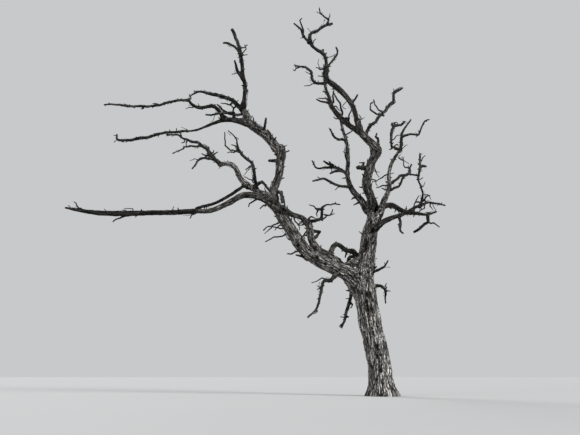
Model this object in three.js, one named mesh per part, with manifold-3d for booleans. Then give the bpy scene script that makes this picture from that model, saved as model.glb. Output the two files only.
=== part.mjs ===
// A dead pine without a needle on it: a leaning trunk that forks into a long crooked bough on the
// left and a leader on the right, and the bare, broken limbs that those two carry.
// Millimetres, +Z up, +X to the onlooker's right, +Y away from the onlooker. The origin is the
// middle of the flat cut at ground level under the trunk.
import * as THREE from "three";
import { mergeVertices } from "three/addons/utils/BufferGeometryUtils.js";
import Module from "manifold-3d";

const wasm = await Module();
wasm.setup();

// A bend [x, z] is where a point of a limb's middle line is seen against the upright plane through
// the foot, by an eye that stands here. The limb itself lies on that sight line, behind the plane
// or in front of it.
const EYE = new THREE.Vector3(-1750, -11300, 360);
const EYE_DISTANCE = -EYE.y;

const GAP = 0.35; // clear space round a limb where the next one grows out of it
const RING_SPACING = 5; // length between rings, in foot radii
const SIDES = [[150, 16], [100, 12], [38, 8], [0, 6]]; // foot radius from which a limb has so many sides
const POINT = 0.8; // length of a limb's blunt point, in tip radii
const MERGED_WITHIN = 1e-3;

const ROOT_HEADINGS = [10, 80, 150, 220, 290]; // degrees from +X
const ROOT_REACH = 95; // how far a root stands out of the trunk at the ground
const ROOT_FALL = 120; // height over which that fades to a third
const ROOT_SHARPNESS = 4;

const FINISHES = {
  trunk: new THREE.MeshStandardMaterial({ color: 0x77736d, roughness: 0.95, metalness: 0 }),
  bough: new THREE.MeshStandardMaterial({ color: 0x6c6964, roughness: 0.92, metalness: 0 }),
  branch: new THREE.MeshStandardMaterial({ color: 0x55524e, roughness: 0.9, metalness: 0 }),
};
const LEAST_BOUGH = 60; // foot radius from which a limb counts as a bough

// Limbs in the order in which they grow. Radii stand at even steps from foot to tip, and lean is how
// far the tip lies behind the foot.
const TRUNK = [
  { name: "trunk", radii: [225, 226, 222, 216, 213, 214, 218, 212], lean: 60,
    bends: [[0, -60], [-20, 250], [-35, 600], [-97, 1000], [-148, 1250], [-194, 1500],
      [-240, 1900], [-268, 2350]] },
  { name: "left_bough", from: "trunk", radii: [150, 138, 124, 121, 117, 100], lean: -250,
    bends: [[-290, 2190], [-600, 2370], [-1000, 2530], [-1450, 2820], [-1720, 3240],
      [-2000, 3720], [-2120, 3940]] },
  { name: "right_stem", from: "trunk", radii: [150, 162, 168, 155, 130, 100], lean: 150,
    bends: [[-250, 2300], [-170, 2750], [-130, 3000], [-90, 3250], [-30, 3500], [-50, 3720]] },
  { name: "leader_lower", from: "right_stem", radii: [106, 95, 103, 99, 97, 95], lean: 150,
    bends: [[-50, 3700], [-60, 4000], [-140, 4250], [-95, 4500], [-20, 4750], [110, 5000], [118, 5080]] },
  { name: "leader_upper", from: "leader_lower", radii: [86, 86, 82, 76], lean: -150,
    bends: [[110, 5050], [-20, 5230], [-140, 5370], [-260, 5520]] },
];

const TOP = [
  { name: "top_limb", from: "leader_upper", radii: [73, 55, 54, 57, 62, 52, 46], lean: -500,
    bends: [[-225, 5490], [-265, 5780], [-380, 6110], [-520, 6370], [-750, 6590], [-890, 6720],
      [-955, 6880]] },
  { name: "top_spire", from: "top_limb", radii: [38, 36, 39, 36, 34, 26], lean: 100,
    bends: [[-960, 6890], [-935, 7230], [-970, 7380], [-1220, 7580], [-1320, 7700], [-1450, 7850]] },
  { name: "spire_left", from: "top_spire", radii: [25, 15], lean: -160,
    bends: [[-1440, 7830], [-1530, 8030], [-1660, 8190]] },
  { name: "spire_right", from: "top_spire", radii: [31, 26, 23, 20], lean: 260,
    bends: [[-1300, 7690], [-1300, 7900], [-1180, 7980], [-970, 8130], [-790, 8190]] },
  { name: "spire_top", from: "spire_right", radii: [17, 14, 11], lean: 120,
    bends: [[-900, 8150], [-860, 8320], [-950, 8380], [-1050, 8450], [-1070, 8580]] },
  { name: "spire_twig", from: "top_spire", radii: [22, 16], lean: 350,
    bends: [[-930, 7050], [-850, 7130], [-670, 7350], [-690, 7560]] },
  { name: "inner_limb", from: "leader_upper", radii: [67, 60, 60, 54, 37, 32, 27], lean: 600,
    bends: [[-230, 5490], [-360, 5560], [-650, 5820], [-820, 6060], [-890, 6300], [-965, 6550],
      [-990, 6850]] },
  { name: "left_fork", from: "inner_limb", radii: [26, 27, 22, 14], lean: 350,
    bends: [[-985, 6650], [-1200, 6670], [-1350, 7000], [-1450, 7060], [-1630, 7100]] },
];

const INNER = [
  { name: "inner_stem", from: "right_stem", radii: [89, 73, 62, 48, 43, 38, 28], lean: 900,
    bends: [[-90, 3620], [-260, 3880], [-440, 4130], [-520, 4420], [-500, 4850], [-520, 5230],
      [-640, 5760]] },
  { name: "inner_arm_low", from: "inner_stem", radii: [28, 24, 24, 16], lean: -500,
    bends: [[-470, 4180], [-570, 4220], [-800, 4250], [-1030, 4390], [-1270, 4340]] },
  { name: "inner_arm_mid", from: "inner_stem", radii: [28, 27, 26, 16, 13], lean: 600,
    bends: [[-530, 4500], [-630, 4600], [-870, 4680], [-1180, 4620], [-1280, 4800]] },
  { name: "inner_arm_high", from: "inner_stem", radii: [24, 23, 18], lean: -300,
    bends: [[-525, 5270], [-650, 5310], [-770, 5330], [-880, 5540]] },
  { name: "leader_stub", from: "leader_lower", radii: [42, 35], lean: -120,
    bends: [[-80, 4660], [-200, 4690], [-310, 4670]] },
];

const RIGHT = [
  { name: "right_arm_high", from: "leader_upper", radii: [32, 28, 29, 25, 15], lean: 1100,
    bends: [[-120, 5410], [0, 5600], [370, 5980], [540, 6230], [590, 6430], [750, 6540]] },
  { name: "right_riser", from: "right_stem", radii: [74, 68, 62, 50, 40, 36, 32, 25], lean: -700,
    bends: [[-50, 3370], [130, 3640], [200, 3870], [330, 4160], [360, 4480], [460, 4820],
      [570, 5000], [650, 5130]] },
  { name: "riser_top", from: "right_riser", radii: [26, 23, 16, 10], lean: -150,
    bends: [[650, 5110], [632, 5260], [722, 5500], [890, 5770]] },
  { name: "riser_side", from: "right_riser", radii: [24, 19, 29, 25, 17], lean: 350,
    bends: [[590, 5060], [440, 5110], [450, 5320], [490, 5570], [600, 5670], [750, 5760]] },
  { name: "riser_whip", from: "riser_top", radii: [16, 14, 11, 8], lean: -650,
    bends: [[665, 5370], [900, 5420], [1030, 5410], [1130, 5650], [1290, 5760]] },
  { name: "mid_right", from: "right_riser", radii: [24, 28, 19], lean: 450,
    bends: [[350, 4260], [590, 4460], [770, 4510], [850, 4610], [870, 4720]] },
  { name: "low_right", from: "right_riser", radii: [24, 19, 16], lean: -450,
    bends: [[320, 4120], [570, 4230], [650, 4420], [750, 4490], [970, 4470]] },
  { name: "right_lower", from: "right_stem", radii: [68, 59, 39, 31, 26], lean: -1000,
    bends: [[-100, 3220], [100, 3370], [350, 3510], [650, 3640], [870, 3770], [980, 3820]] },
  { name: "right_upper", from: "right_riser", radii: [55, 48, 41, 32, 27, 18], lean: 1100,
    bends: [[180, 3740], [370, 3770], [610, 3660], [900, 3630], [1100, 3610], [1300, 3670]] },
  { name: "outer_right", from: "right_lower", radii: [22, 18, 17, 24, 20, 14], lean: -200,
    bends: [[970, 3815], [1060, 4060], [975, 4360], [1040, 4630], [1020, 4850], [1040, 4980]] },
  { name: "right_reach", from: "right_lower", radii: [21, 18, 14], lean: 300,
    bends: [[960, 3820], [1130, 3880], [1370, 3840], [1490, 3810]] },
  { name: "drop_inner", from: "right_lower", radii: [24, 22, 15], lean: -200,
    bends: [[520, 3580], [550, 3420], [530, 3270], [590, 3210]] },
  { name: "drop_outer", from: "right_upper", radii: [29, 25, 22], lean: 250,
    bends: [[1110, 3630], [1110, 3430], [930, 3280], [820, 3220]] },
  { name: "trunk_twig_high", from: "trunk", radii: [23, 20, 12], lean: -300,
    bends: [[-250, 2360], [0, 2430], [160, 2500], [240, 2630]] },
  { name: "trunk_twig_low", from: "trunk", radii: [25, 22, 18, 12], lean: 320,
    bends: [[-240, 2110], [30, 2130], [200, 2010], [190, 1900], [160, 1770]] },
];

const LOW_LEFT = [
  { name: "ladder_limb", from: "left_bough", radii: [50, 56, 64, 68, 70, 66], lean: -120,
    bends: [[-700, 2430], [-900, 2710], [-1180, 2870], [-1290, 3050], [-1340, 3280], [-1370, 3450]] },
  { name: "ladder_top", from: "ladder_limb", radii: [62, 54, 50, 48, 42], lean: -190,
    bends: [[-1370, 3440], [-1500, 3550], [-1770, 3670], [-1900, 3790]] },
  { name: "loop_rise", from: "left_bough", radii: [52, 50, 45], lean: 260,
    bends: [[-930, 2500], [-925, 2780], [-870, 2920], [-800, 2980]] },
  { name: "loop_fall", from: "trunk", radii: [46, 42, 39], lean: 180,
    bends: [[-330, 2500], [-400, 2740], [-600, 2870], [-745, 2965]] },
  { name: "twig_stand", from: "ladder_limb", radii: [25, 24, 22, 13, 11], lean: -450,
    bends: [[-1360, 3460], [-1120, 3510], [-1080, 3750], [-1000, 3810], [-710, 3820]] },
  { name: "hanging_far", from: "left_bough", radii: [39, 31, 24, 15], lean: -650,
    bends: [[-770, 2430], [-890, 2260], [-1060, 2190], [-1105, 2000], [-1240, 1650], [-1380, 1490]] },
  { name: "hanging_near", from: "left_bough", radii: [44, 34, 27, 18], lean: 450,
    bends: [[-560, 2330], [-560, 2140], [-525, 1940], [-590, 1650], [-650, 1430], [-740, 1300]] },
];

const LEFT = [
  { name: "left_riser", from: "left_bough", radii: [96, 90, 78, 80, 86, 84], lean: 350,
    bends: [[-2100, 3920], [-2090, 4150], [-1990, 4500], [-1970, 4750], [-1940, 4970], [-1950, 5100]] },
  { name: "left_riser_upper", from: "left_riser", radii: [82, 92, 92, 88, 78], lean: 350,
    bends: [[-1950, 5070], [-2100, 5240], [-2260, 5385], [-2430, 5515], [-2740, 5755]] },
  { name: "riser_arch", from: "left_riser", radii: [32, 34, 33, 30], lean: -260,
    bends: [[-2070, 4100], [-1950, 4070], [-1900, 3960], [-1895, 3880]] },
  { name: "long_arm", from: "left_bough", radii: [86, 74, 68, 60, 52, 45], lean: -700,
    bends: [[-2080, 3870], [-2380, 3990], [-2700, 4040], [-3050, 3860], [-3430, 3690], [-3750, 3660]] },
  { name: "long_arm_end", from: "long_arm", radii: [49, 55, 54, 59, 52, 39, 23], lean: -900,
    bends: [[-3740, 3660], [-4250, 3635], [-4750, 3625], [-5250, 3615], [-5750, 3620],
      [-6250, 3710], [-6450, 3755]] },
  { name: "steep_arm", from: "left_bough", radii: [78, 66, 56, 46, 38], lean: 500,
    bends: [[-2110, 3910], [-2430, 4120], [-2770, 4360], [-2960, 4680], [-3150, 4740], [-3250, 4700]] },
  { name: "steep_arm_end", from: "steep_arm", radii: [41, 50, 48, 30, 19, 13], lean: 700,
    bends: [[-3240, 4690], [-3360, 4840], [-3600, 5130], [-3930, 5270], [-4190, 5400], [-4430, 5410]] },
  { name: "steep_arm_side", from: "steep_arm_end", radii: [24, 19, 13, 10], lean: -450,
    bends: [[-3650, 5160], [-3800, 5150], [-3990, 5150], [-4120, 5050], [-4280, 4980]] },
  { name: "long_arm_upper", from: "steep_arm", radii: [41, 37, 30, 22], lean: 160,
    bends: [[-2500, 4170], [-2700, 4230], [-2990, 4050], [-3280, 3870], [-3720, 3720]] },
  { name: "curly_limb", from: "steep_arm", radii: [31, 31, 28, 27, 14, 9], lean: -1000,
    bends: [[-2430, 4160], [-2500, 4400], [-2570, 4700], [-2770, 4940], [-2870, 5080],
      [-2900, 5320], [-3100, 5510]] },
  { name: "high_arm", from: "left_riser_upper", radii: [69, 63, 50, 32, 24, 22], lean: 700,
    bends: [[-2700, 5720], [-3040, 5765], [-3250, 5745], [-3520, 5640], [-3770, 5530], [-4000, 5490]] },
  { name: "high_arm_end", from: "high_arm", radii: [23, 24, 27, 30, 21, 16], lean: 700,
    bends: [[-3990, 5500], [-4550, 5430], [-4850, 5330], [-5050, 5310], [-5480, 5290], [-5510, 5410]] },
  { name: "crest_arm", from: "high_arm", radii: [52, 43, 39, 36, 28], lean: -600,
    bends: [[-3190, 5770], [-3300, 5960], [-3410, 6080], [-3800, 6070], [-3920, 6140], [-4010, 6260]] },
  { name: "crest_arm_end", from: "crest_arm", radii: [26, 24, 23, 22, 14], lean: -650,
    bends: [[-4000, 6230], [-4250, 6220], [-4750, 6090], [-5250, 6080], [-5500, 6110], [-5850, 6130]] },
  { name: "neck", from: "left_riser_upper", radii: [70, 66, 60], lean: -60,
    bends: [[-2690, 5730], [-2760, 5920], [-2810, 6040]] },
  { name: "back_arm", from: "neck", radii: [45, 39, 30, 27, 24, 16], lean: 1100,
    bends: [[-2790, 6000], [-3000, 6230], [-3150, 6310], [-3500, 6380], [-3770, 6450], [-3900, 6390]] },
  { name: "upright", from: "neck", radii: [42, 40, 42, 36, 30], lean: -350,
    bends: [[-2795, 6010], [-2755, 6260], [-2745, 6620], [-2805, 6860], [-2845, 7250], [-2865, 7370]] },
  { name: "upright_top", from: "upright", radii: [31, 26, 26, 22], lean: -180,
    bends: [[-2870, 7370], [-2960, 7660], [-3040, 7950], [-3090, 8030]] },
  { name: "upright_left", from: "upright", radii: [24, 23, 17], lean: 250,
    bends: [[-2865, 7340], [-2970, 7520], [-3180, 7680], [-3270, 7680]] },
  { name: "upright_stub", from: "upright", radii: [31, 31, 17], lean: -160,
    bends: [[-2815, 6780], [-2960, 7000], [-3010, 7230]] },
];

// How much larger a thing is than it looks against the plane, at a given depth behind it.
const enlargement = (depth) => (EYE_DISTANCE + depth) / EYE_DISTANCE;

const onPlane = ([x, z]) => new THREE.Vector3(x, 0, z);

const inSpace = (seen, depth) => seen.clone().sub(EYE).multiplyScalar(enlargement(depth)).add(EYE);

// The value at a fraction of the way along a list whose values stand at even steps.
function between(values, fraction) {
  const place = fraction * (values.length - 1);
  const before = Math.min(Math.floor(place), values.length - 2);
  return THREE.MathUtils.lerp(values[before], values[before + 1], place - before);
}

// The knot on a parent's spine that is seen nearest to where a limb starts.
function nearestKnot(spine, seen) {
  const knots = spine.slice(1).map((after, i) => {
    const before = spine[i];
    const stretch = new THREE.Line3(before.seen, after.seen);
    const part = stretch.closestPointToPointParameter(seen, true);
    const point = stretch.at(part, new THREE.Vector3());
    return { seen: point, depth: THREE.MathUtils.lerp(before.depth, after.depth, part) };
  });
  const nearer = (one, other) => (one.seen.distanceTo(seen) < other.seen.distanceTo(seen) ? one : other);
  return knots.reduce(nearer);
}

// The knots of a limb's spine, on a smooth line from its parent's middle through its bends.
function spineOf({ bends, radii, lean }, parent) {
  const seen = bends.map(onPlane);
  const start = parent ? nearestKnot(parent.spine, seen[0]) : { seen: seen[0], depth: 0 };
  const line = new THREE.CatmullRomCurve3([start.seen, ...seen.slice(1)], false, "centripetal");
  const stretches = bends.length - 1;
  const stride = line.getLength() / stretches;
  const steps = stretches * Math.max(1, Math.round(stride / (RING_SPACING * radii[0])));
  return Array.from({ length: steps + 1 }, (_, i) => {
    const along = i / steps;
    const depth = start.depth + lean * along;
    const point = line.getPoint(along);
    const radius = between(radii, along) * enlargement(depth);
    return { seen: point, depth, place: inSpace(point, depth), radius };
  });
}

// How far the roots stand out of the trunk, at a heading and a height.
function rootFlare(angle, height) {
  const lobes = ROOT_HEADINGS.map((heading) => Math.cos(angle - THREE.MathUtils.degToRad(heading)));
  const nearest = Math.max(...lobes, 0) ** ROOT_SHARPNESS;
  return ROOT_REACH * (0.5 + 0.5 * nearest) * Math.exp(-Math.max(height, 0) / ROOT_FALL);
}

// Rings round a spine, each turned as little as possible from the one before.
function ringsRound(spine, sides, spread, flare) {
  const side = new THREE.Vector3(1, 0, 0);
  return spine.map((knot, i) => {
    const before = spine[Math.max(i - 1, 0)].place;
    const after = spine[Math.min(i + 1, spine.length - 1)].place;
    const ahead = after.clone().sub(before).normalize();
    side.addScaledVector(ahead, -side.dot(ahead)).normalize();
    const up = ahead.clone().cross(side);
    return Array.from({ length: sides }, (_, k) => {
      const angle = (k / sides) * 2 * Math.PI;
      const outward = side.clone().multiplyScalar(Math.cos(angle)).addScaledVector(up, Math.sin(angle));
      return knot.place.clone().addScaledVector(outward, knot.radius + spread + flare(angle, knot.place.z));
    });
  });
}

// A closed solid: a foot, the rings and a blunt point.
function solidOf(rings, foot, tip) {
  const sides = rings[0].length;
  const points = [foot, ...rings.flat(), tip];
  const end = points.length - 1;
  const corners = [];
  for (let k = 0; k < sides; k += 1) {
    const next = (k + 1) % sides;
    corners.push(0, 1 + next, 1 + k);
    for (let low = 1; low + sides < end; low += sides) {
      corners.push(low + k, low + next, low + sides + next);
      corners.push(low + k, low + sides + next, low + sides + k);
    }
    corners.push(end - sides + k, end - sides + next, end);
  }
  const loose = new THREE.BufferGeometry().setFromPoints(points).setIndex(corners);
  const geometry = mergeVertices(loose, MERGED_WITHIN);
  return new wasm.Manifold(new wasm.Mesh({
    numProp: 3,
    vertProperties: geometry.attributes.position.array,
    triVerts: new Uint32Array(geometry.index.array),
  }));
}

// The limb's solid, or with a spread the space that it keeps clear on every side.
function sweep(spine, sides, spread, flare) {
  const knots = spine.map((knot) => ({ ...knot, place: knot.place.clone() }));
  const ahead = (from, to) => to.place.clone().sub(from.place).normalize();
  const [footward, tipward] = [ahead(knots[1], knots[0]), ahead(knots.at(-2), knots.at(-1))];
  knots[0].place.addScaledVector(footward, spread);
  knots.at(-1).place.addScaledVector(tipward, spread);
  const point = knots.at(-1).place.clone().addScaledVector(tipward, POINT * knots.at(-1).radius + spread);
  return solidOf(ringsRound(knots, sides, spread, flare), knots[0].place, point);
}

const largest = (solids) => solids.reduce((most, solid) => (solid.volume() > most.volume() ? solid : most));

function finishOf({ name, radii }) {
  if (name === "trunk") return FINISHES.trunk;
  return radii[0] < LEAST_BOUGH ? FINISHES.branch : FINISHES.bough;
}

function meshOf(solid, row) {
  const { vertProperties, triVerts } = solid.getMesh();
  const geometry = new THREE.BufferGeometry();
  geometry.setAttribute("position", new THREE.BufferAttribute(vertProperties, 3));
  geometry.setIndex(new THREE.BufferAttribute(triVerts, 1));
  const mesh = new THREE.Mesh(geometry, finishOf(row));
  mesh.name = row.name;
  return mesh;
}

// Each limb starts in the middle of its parent and is cut back from every limb made before it.
const tree = new THREE.Group();
const grown = new Map();
for (const row of [...TRUNK, ...TOP, ...INNER, ...RIGHT, ...LOW_LEFT, ...LEFT]) {
  const spine = spineOf(row, grown.get(row.from));
  const [, sides] = SIDES.find(([least]) => row.radii[0] >= least);
  const flare = row.from ? () => 0 : rootFlare;
  let solid = sweep(spine, sides, 0, flare);
  for (const earlier of grown.values()) {
    solid = solid.subtract(earlier.clearance);
  }
  if (!row.from) {
    solid = solid.trimByPlane([0, 0, 1], 0);
  }
  tree.add(meshOf(largest(solid.decompose()), row));
  grown.set(row.name, { spine, clearance: sweep(spine, sides, GAP, flare) });
}

export default tree;
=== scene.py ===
# %% [markdown]
# A dead pine on open ground: a leaning trunk, a long crooked bough to the left, a kinked leader to
# the right, and many bare broken limbs. The solid model gives the size and place of every limb. This
# script measures those solids and dresses each of them in wood with real relief.

# %% Load the frame
import math

import bpy
import bmesh
import numpy as np
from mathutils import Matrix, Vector
from mathutils.kdtree import KDTree
from mathutils.noise import noise as ragged_by


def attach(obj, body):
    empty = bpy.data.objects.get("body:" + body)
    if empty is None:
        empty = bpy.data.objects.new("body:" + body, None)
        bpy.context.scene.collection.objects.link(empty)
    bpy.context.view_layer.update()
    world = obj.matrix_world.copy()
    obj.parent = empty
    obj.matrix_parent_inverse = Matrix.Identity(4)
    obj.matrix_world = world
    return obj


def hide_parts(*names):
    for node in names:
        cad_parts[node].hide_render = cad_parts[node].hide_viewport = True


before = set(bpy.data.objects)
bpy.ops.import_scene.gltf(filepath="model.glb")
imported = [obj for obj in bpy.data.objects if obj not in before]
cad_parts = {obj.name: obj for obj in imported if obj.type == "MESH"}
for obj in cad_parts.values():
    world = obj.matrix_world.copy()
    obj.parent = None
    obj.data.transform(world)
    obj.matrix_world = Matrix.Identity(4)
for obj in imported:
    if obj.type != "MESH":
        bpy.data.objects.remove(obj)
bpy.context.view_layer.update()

# %% [markdown]
# The photograph was taken from about eleven metres away, with the camera knee-high and tilted up so
# that the crown fits in. A camera that is tilted, and not shifted, keeps that look from below: limbs
# near the top are smaller, and the trunk leans with the picture.

# %% Camera
EYE = Vector((-1.755, -11.3, 0.37))
TILT = math.radians(15.7)
LENS = 35

camera = bpy.data.objects.new("camera", bpy.data.cameras.new("camera"))
camera.location = EYE
camera.rotation_euler = (math.radians(90) + TILT, 0, 0)
camera.data.lens = LENS
bpy.context.collection.objects.link(camera)
bpy.context.scene.camera = camera
print("camera at", [round(v, 2) for v in EYE], "tilted up by", round(math.degrees(TILT), 1), "degrees")

# %% [markdown]
# Overcast daylight is one huge soft lamp. A pale world colour gives the light from all round, and a
# wide soft sun, high on the right, gives the trunk its lighter side. Two weaker ones, behind the
# crown and on the left, keep the far sides of the limbs from going flat. A sun lights the plain pale
# floor evenly, so that it runs into the background without a hard line.

# %% Floor and light
FLOOR_SIZE = 400
FLOOR_GREY = (0.335, 0.336, 0.338)
SKY_COLOUR = (0.80, 0.81, 0.82)
SKY_LIGHT = 0.72
SUN_WIDTH = math.radians(22)
# For each sun: the direction that it shines from, and its strength.
SUNS = {"key": ((15.0, -12.0, 10.0), 4.6),
        "back": ((-7.0, 11.0, 8.0), 1.7),
        "fill": ((-13.0, -10.0, 3.0), 1.7)}


def put(tree, kind, inputs=None, **settings):
    """Adds a node, sets its options, and links or fills its inputs."""
    node = tree.nodes.new(kind)
    for name, value in settings.items():
        setattr(node, name, value)
    for name, value in (inputs or {}).items():
        if isinstance(value, bpy.types.NodeSocket):
            tree.links.new(value, node.inputs[name])
        else:
            node.inputs[name].default_value = value
    return node


def soft_sun(name, side, strength):
    """A wide sun that shines from a side, given as a direction, towards the tree."""
    light = bpy.data.lights.new(name, "SUN")
    light.angle = SUN_WIDTH
    light.energy = strength
    holder = bpy.data.objects.new(name, light)
    holder.rotation_euler = (-Vector(side)).to_track_quat("-Z", "Y").to_euler()
    bpy.context.collection.objects.link(holder)


def plain_material(name, colour, roughness):
    """A material of one colour."""
    material = bpy.data.materials.new(name)
    material.use_nodes = True
    shader = material.node_tree.nodes["Principled BSDF"]
    shader.inputs["Base Color"].default_value = (*colour, 1)
    shader.inputs["Roughness"].default_value = roughness
    return material


bpy.ops.mesh.primitive_plane_add(size=FLOOR_SIZE)
floor = bpy.context.object
floor.name = "floor"
floor.data.materials.append(plain_material("floor", FLOOR_GREY, 1.0))

world = bpy.data.worlds.new("overcast")
world.use_nodes = True
world.node_tree.nodes["Background"].inputs["Color"].default_value = (*SKY_COLOUR, 1)
world.node_tree.nodes["Background"].inputs["Strength"].default_value = SKY_LIGHT
bpy.context.scene.world = world

bpy.context.scene.view_settings.view_transform = "Standard"

for name, (side, strength) in SUNS.items():
    soft_sun(name, side, strength)
print(len(SUNS), "suns over a floor", FLOOR_SIZE, "metres wide")

# %% [markdown]
# Every limb of the solid model is a row of rings with a point at its far end. The point is easy to
# find: it is the corner whose edges are all equally long. Walking back from it, ring by ring, gives
# the middle line of the limb and its radius. The walk ends where the limb was cut to fit its parent.
# Where the point of the parent has left its print in the foot of the limb, the longer walk is right.

# %% Measure the limbs
SAME_PLACE = 1e-5  # corners nearer to one another than this are one
LEAST_RING = 6     # corners in the smallest ring
EVEN = 0.01        # how much the edges round a point may differ in length
RING_GAP = 0.05    # the least gap between two rings of a short limb
NEXT_RING = 0.8    # the least step between rings, as a share of their radius
WIDE = 0.1         # the radius from which that step stays the same


def merged_corners(node):
    """The corners of a solid with doubles merged, and for each the set of its neighbours."""
    places = np.array([v.co for v in node.data.vertices])
    keys = np.round(places / SAME_PLACE).astype(int)
    _, first, index = np.unique(keys, axis=0, return_index=True, return_inverse=True)
    index = index.ravel()
    neighbours = [set() for _ in first]
    for face in node.data.polygons:
        corners = [index[i] for i in face.vertices]
        for a in corners:
            neighbours[a].update(c for c in corners if c != a)
    return places[first], neighbours


def is_point(place, around):
    """Whether a corner is the point of a limb, whose edges are equally long."""
    lengths = np.linalg.norm(around - place, axis=1)
    return len(around) >= LEAST_RING and lengths.std() < EVEN * lengths.mean()


def walked_back(tip, places, neighbours):
    """The rings of corners met on the way from the point of a limb to its foot."""
    seen = {tip}
    ring = set(neighbours[tip])
    met = []
    while len(ring) >= LEAST_RING:
        corners = places[list(ring)]
        radius = np.linalg.norm(corners - corners.mean(0), axis=1).mean()
        if met and np.linalg.norm(corners.mean(0) - met[-1].mean(0)) < NEXT_RING * min(radius, WIDE):
            break
        met.append(corners)
        seen |= ring
        ring = set().union(*(neighbours[i] for i in ring)) - seen
    return met


def sliced(places):
    """The rings of a short limb that is cut at both ends, lowest first, found by their gaps."""
    _, _, axes = np.linalg.svd(places - places.mean(0))
    along = places @ (axes[0] * np.sign(axes[0][2]))
    order = along.argsort()
    first, *whole, last = np.split(places[order], np.flatnonzero(np.diff(along[order]) > RING_GAP) + 1)
    whole.append(whole[-1] - whole[-1].mean(0) + last.mean(0))
    return [first, *whole]


def rings_of(node):
    """Rings of corners from where a limb leaves its parent to its tip. The first may be uneven."""
    places, neighbours = merged_corners(node)
    tips = [i for i, near in enumerate(neighbours) if is_point(places[i], places[list(near)])]
    if not tips:
        return sliced(places)
    return max((walked_back(tip, places, neighbours) for tip in tips), key=len)[::-1]


rings = {name: rings_of(node) for name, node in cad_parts.items()}
SLOT_OF = {name: node.data.materials[0].name for name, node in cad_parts.items()}
print(len(rings), "limbs measured, with", sum(len(row) for row in rings.values()), "rings")

# %% [markdown]
# Which limb grows from which is the plan of the tree. With that plan each middle line can be carried
# on into the limb that bears it, so that the wood of the two will merge. A smooth curve is drawn
# through the middles of the rings, because a limb of wood has no sharp corners.

# %% Plan of the tree
BEARS = {
    "trunk": "left_bough right_stem loop_fall trunk_twig_high trunk_twig_low",
    "right_stem": "leader_lower inner_stem right_riser right_lower",
    "leader_lower": "leader_upper leader_stub",
    "leader_upper": "top_limb inner_limb right_arm_high",
    "top_limb": "top_spire",
    "top_spire": "spire_left spire_right spire_twig",
    "spire_right": "spire_top",
    "inner_limb": "left_fork",
    "inner_stem": "inner_arm_low inner_arm_mid inner_arm_high",
    "right_riser": "riser_top riser_side mid_right low_right right_upper",
    "riser_top": "riser_whip",
    "right_lower": "outer_right right_reach drop_inner",
    "right_upper": "drop_outer",
    "left_bough": "ladder_limb loop_rise hanging_far hanging_near left_riser long_arm steep_arm",
    "ladder_limb": "ladder_top twig_stand",
    "left_riser": "left_riser_upper riser_arch",
    "left_riser_upper": "high_arm neck",
    "high_arm": "high_arm_end crest_arm",
    "crest_arm": "crest_arm_end",
    "neck": "back_arm upright",
    "upright": "upright_top upright_left upright_stub",
    "long_arm": "long_arm_end",
    "steep_arm": "steep_arm_end long_arm_upper curly_limb",
    "steep_arm_end": "steep_arm_side",
}
BORNE_BY = {name: parent for parent, names in BEARS.items() for name in names.split()}
print(len(BORNE_BY), "limbs grow from", len(BEARS), "others")

# %% Middle lines
STEP = 0.02         # between two points of a middle line
LEAST_POINTS = 4
MOST_TAPER = 1.3    # the most that a limb widens from one ring to the next, towards its foot
# The eye that the solid model was laid out for, within a centimetre of the camera.
PLANE_EYE = np.array([-1.75, -11.3, 0.36])
EYE_AWAY = -PLANE_EYE[1]


class Line:
    """A smooth middle line through given points, with the radius and the length along it."""

    def __init__(self, points, radii, step=STEP, ease=1.0):
        rows = np.column_stack([points, radii])
        gaps = np.linalg.norm(np.diff(rows[:, :3], axis=0), axis=1)
        knots = np.concatenate([[0], np.cumsum(gaps)])
        slopes = np.gradient(rows, knots, axis=0) * ease
        self.along = np.linspace(0, knots[-1], max(LEAST_POINTS, round(knots[-1] / step)))
        i = np.clip(np.searchsorted(knots, self.along, side="right") - 1, 0, len(gaps) - 1)
        t = ((self.along - knots[i]) / gaps[i])[:, None]
        start, end = rows[i], rows[i + 1]
        leave, arrive = slopes[i] * gaps[i][:, None], slopes[i + 1] * gaps[i][:, None]
        curved = (2 * t**3 - 3 * t**2 + 1) * start + (t**3 - 2 * t**2 + t) * leave
        curved += (3 * t**2 - 2 * t**3) * end + (t**3 - t**2) * arrive
        self.points, self.radii = curved[:, :3], curved[:, 3]

    def nearest(self, place):
        """The number of the point that is nearest to a place."""
        return np.linalg.norm(self.points - place, axis=1).argmin()

    def ahead(self):
        """The direction of the line at each of its points."""
        ways = np.gradient(self.points, axis=0)
        return ways / np.linalg.norm(ways, axis=1)[:, None]


def ring_radius(ring):
    """The radius of a ring of corners."""
    return np.linalg.norm(ring - ring.mean(0), axis=1).mean()


def line_of(name, lines):
    """A limb's middle line, from the middle of the limb that bears it."""
    centres = np.array([ring.mean(0) for ring in rings[name]])
    radii = np.array([ring_radius(ring) for ring in rings[name]])
    if name not in BORNE_BY:
        return Line(centres, radii)
    parent = lines[BORNE_BY[name]]
    for i in range(len(radii) - 2, -1, -1):
        radii[i] = min(radii[i], radii[i + 1] * MOST_TAPER)
    back = centres[0] - centres[min(1, len(centres) - 1)]
    reach = np.linalg.norm(parent.points[parent.nearest(centres[0])] - centres[0])
    length = np.linalg.norm(back)
    aim = centres[0] + back / length * reach if length > 0 else centres[0]
    root = parent.points[parent.nearest(aim)]
    if np.linalg.norm(root - centres[0]) < SAME_PLACE:
        return Line(centres, radii)
    return Line(np.vstack([root, centres]), np.concatenate([radii[:1], radii]))


def as_seen(places):
    """Where places are seen against the upright plane through the foot."""
    depth = (places[:, 1] - PLANE_EYE[1]) / EYE_AWAY
    return PLANE_EYE + (places - PLANE_EYE) / depth[:, None]


lines = {"trunk": line_of("trunk", {})}
while len(lines) < len(rings):
    for name, parent in BORNE_BY.items():
        if name not in lines and parent in lines:
            lines[name] = line_of(name, lines)

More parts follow.
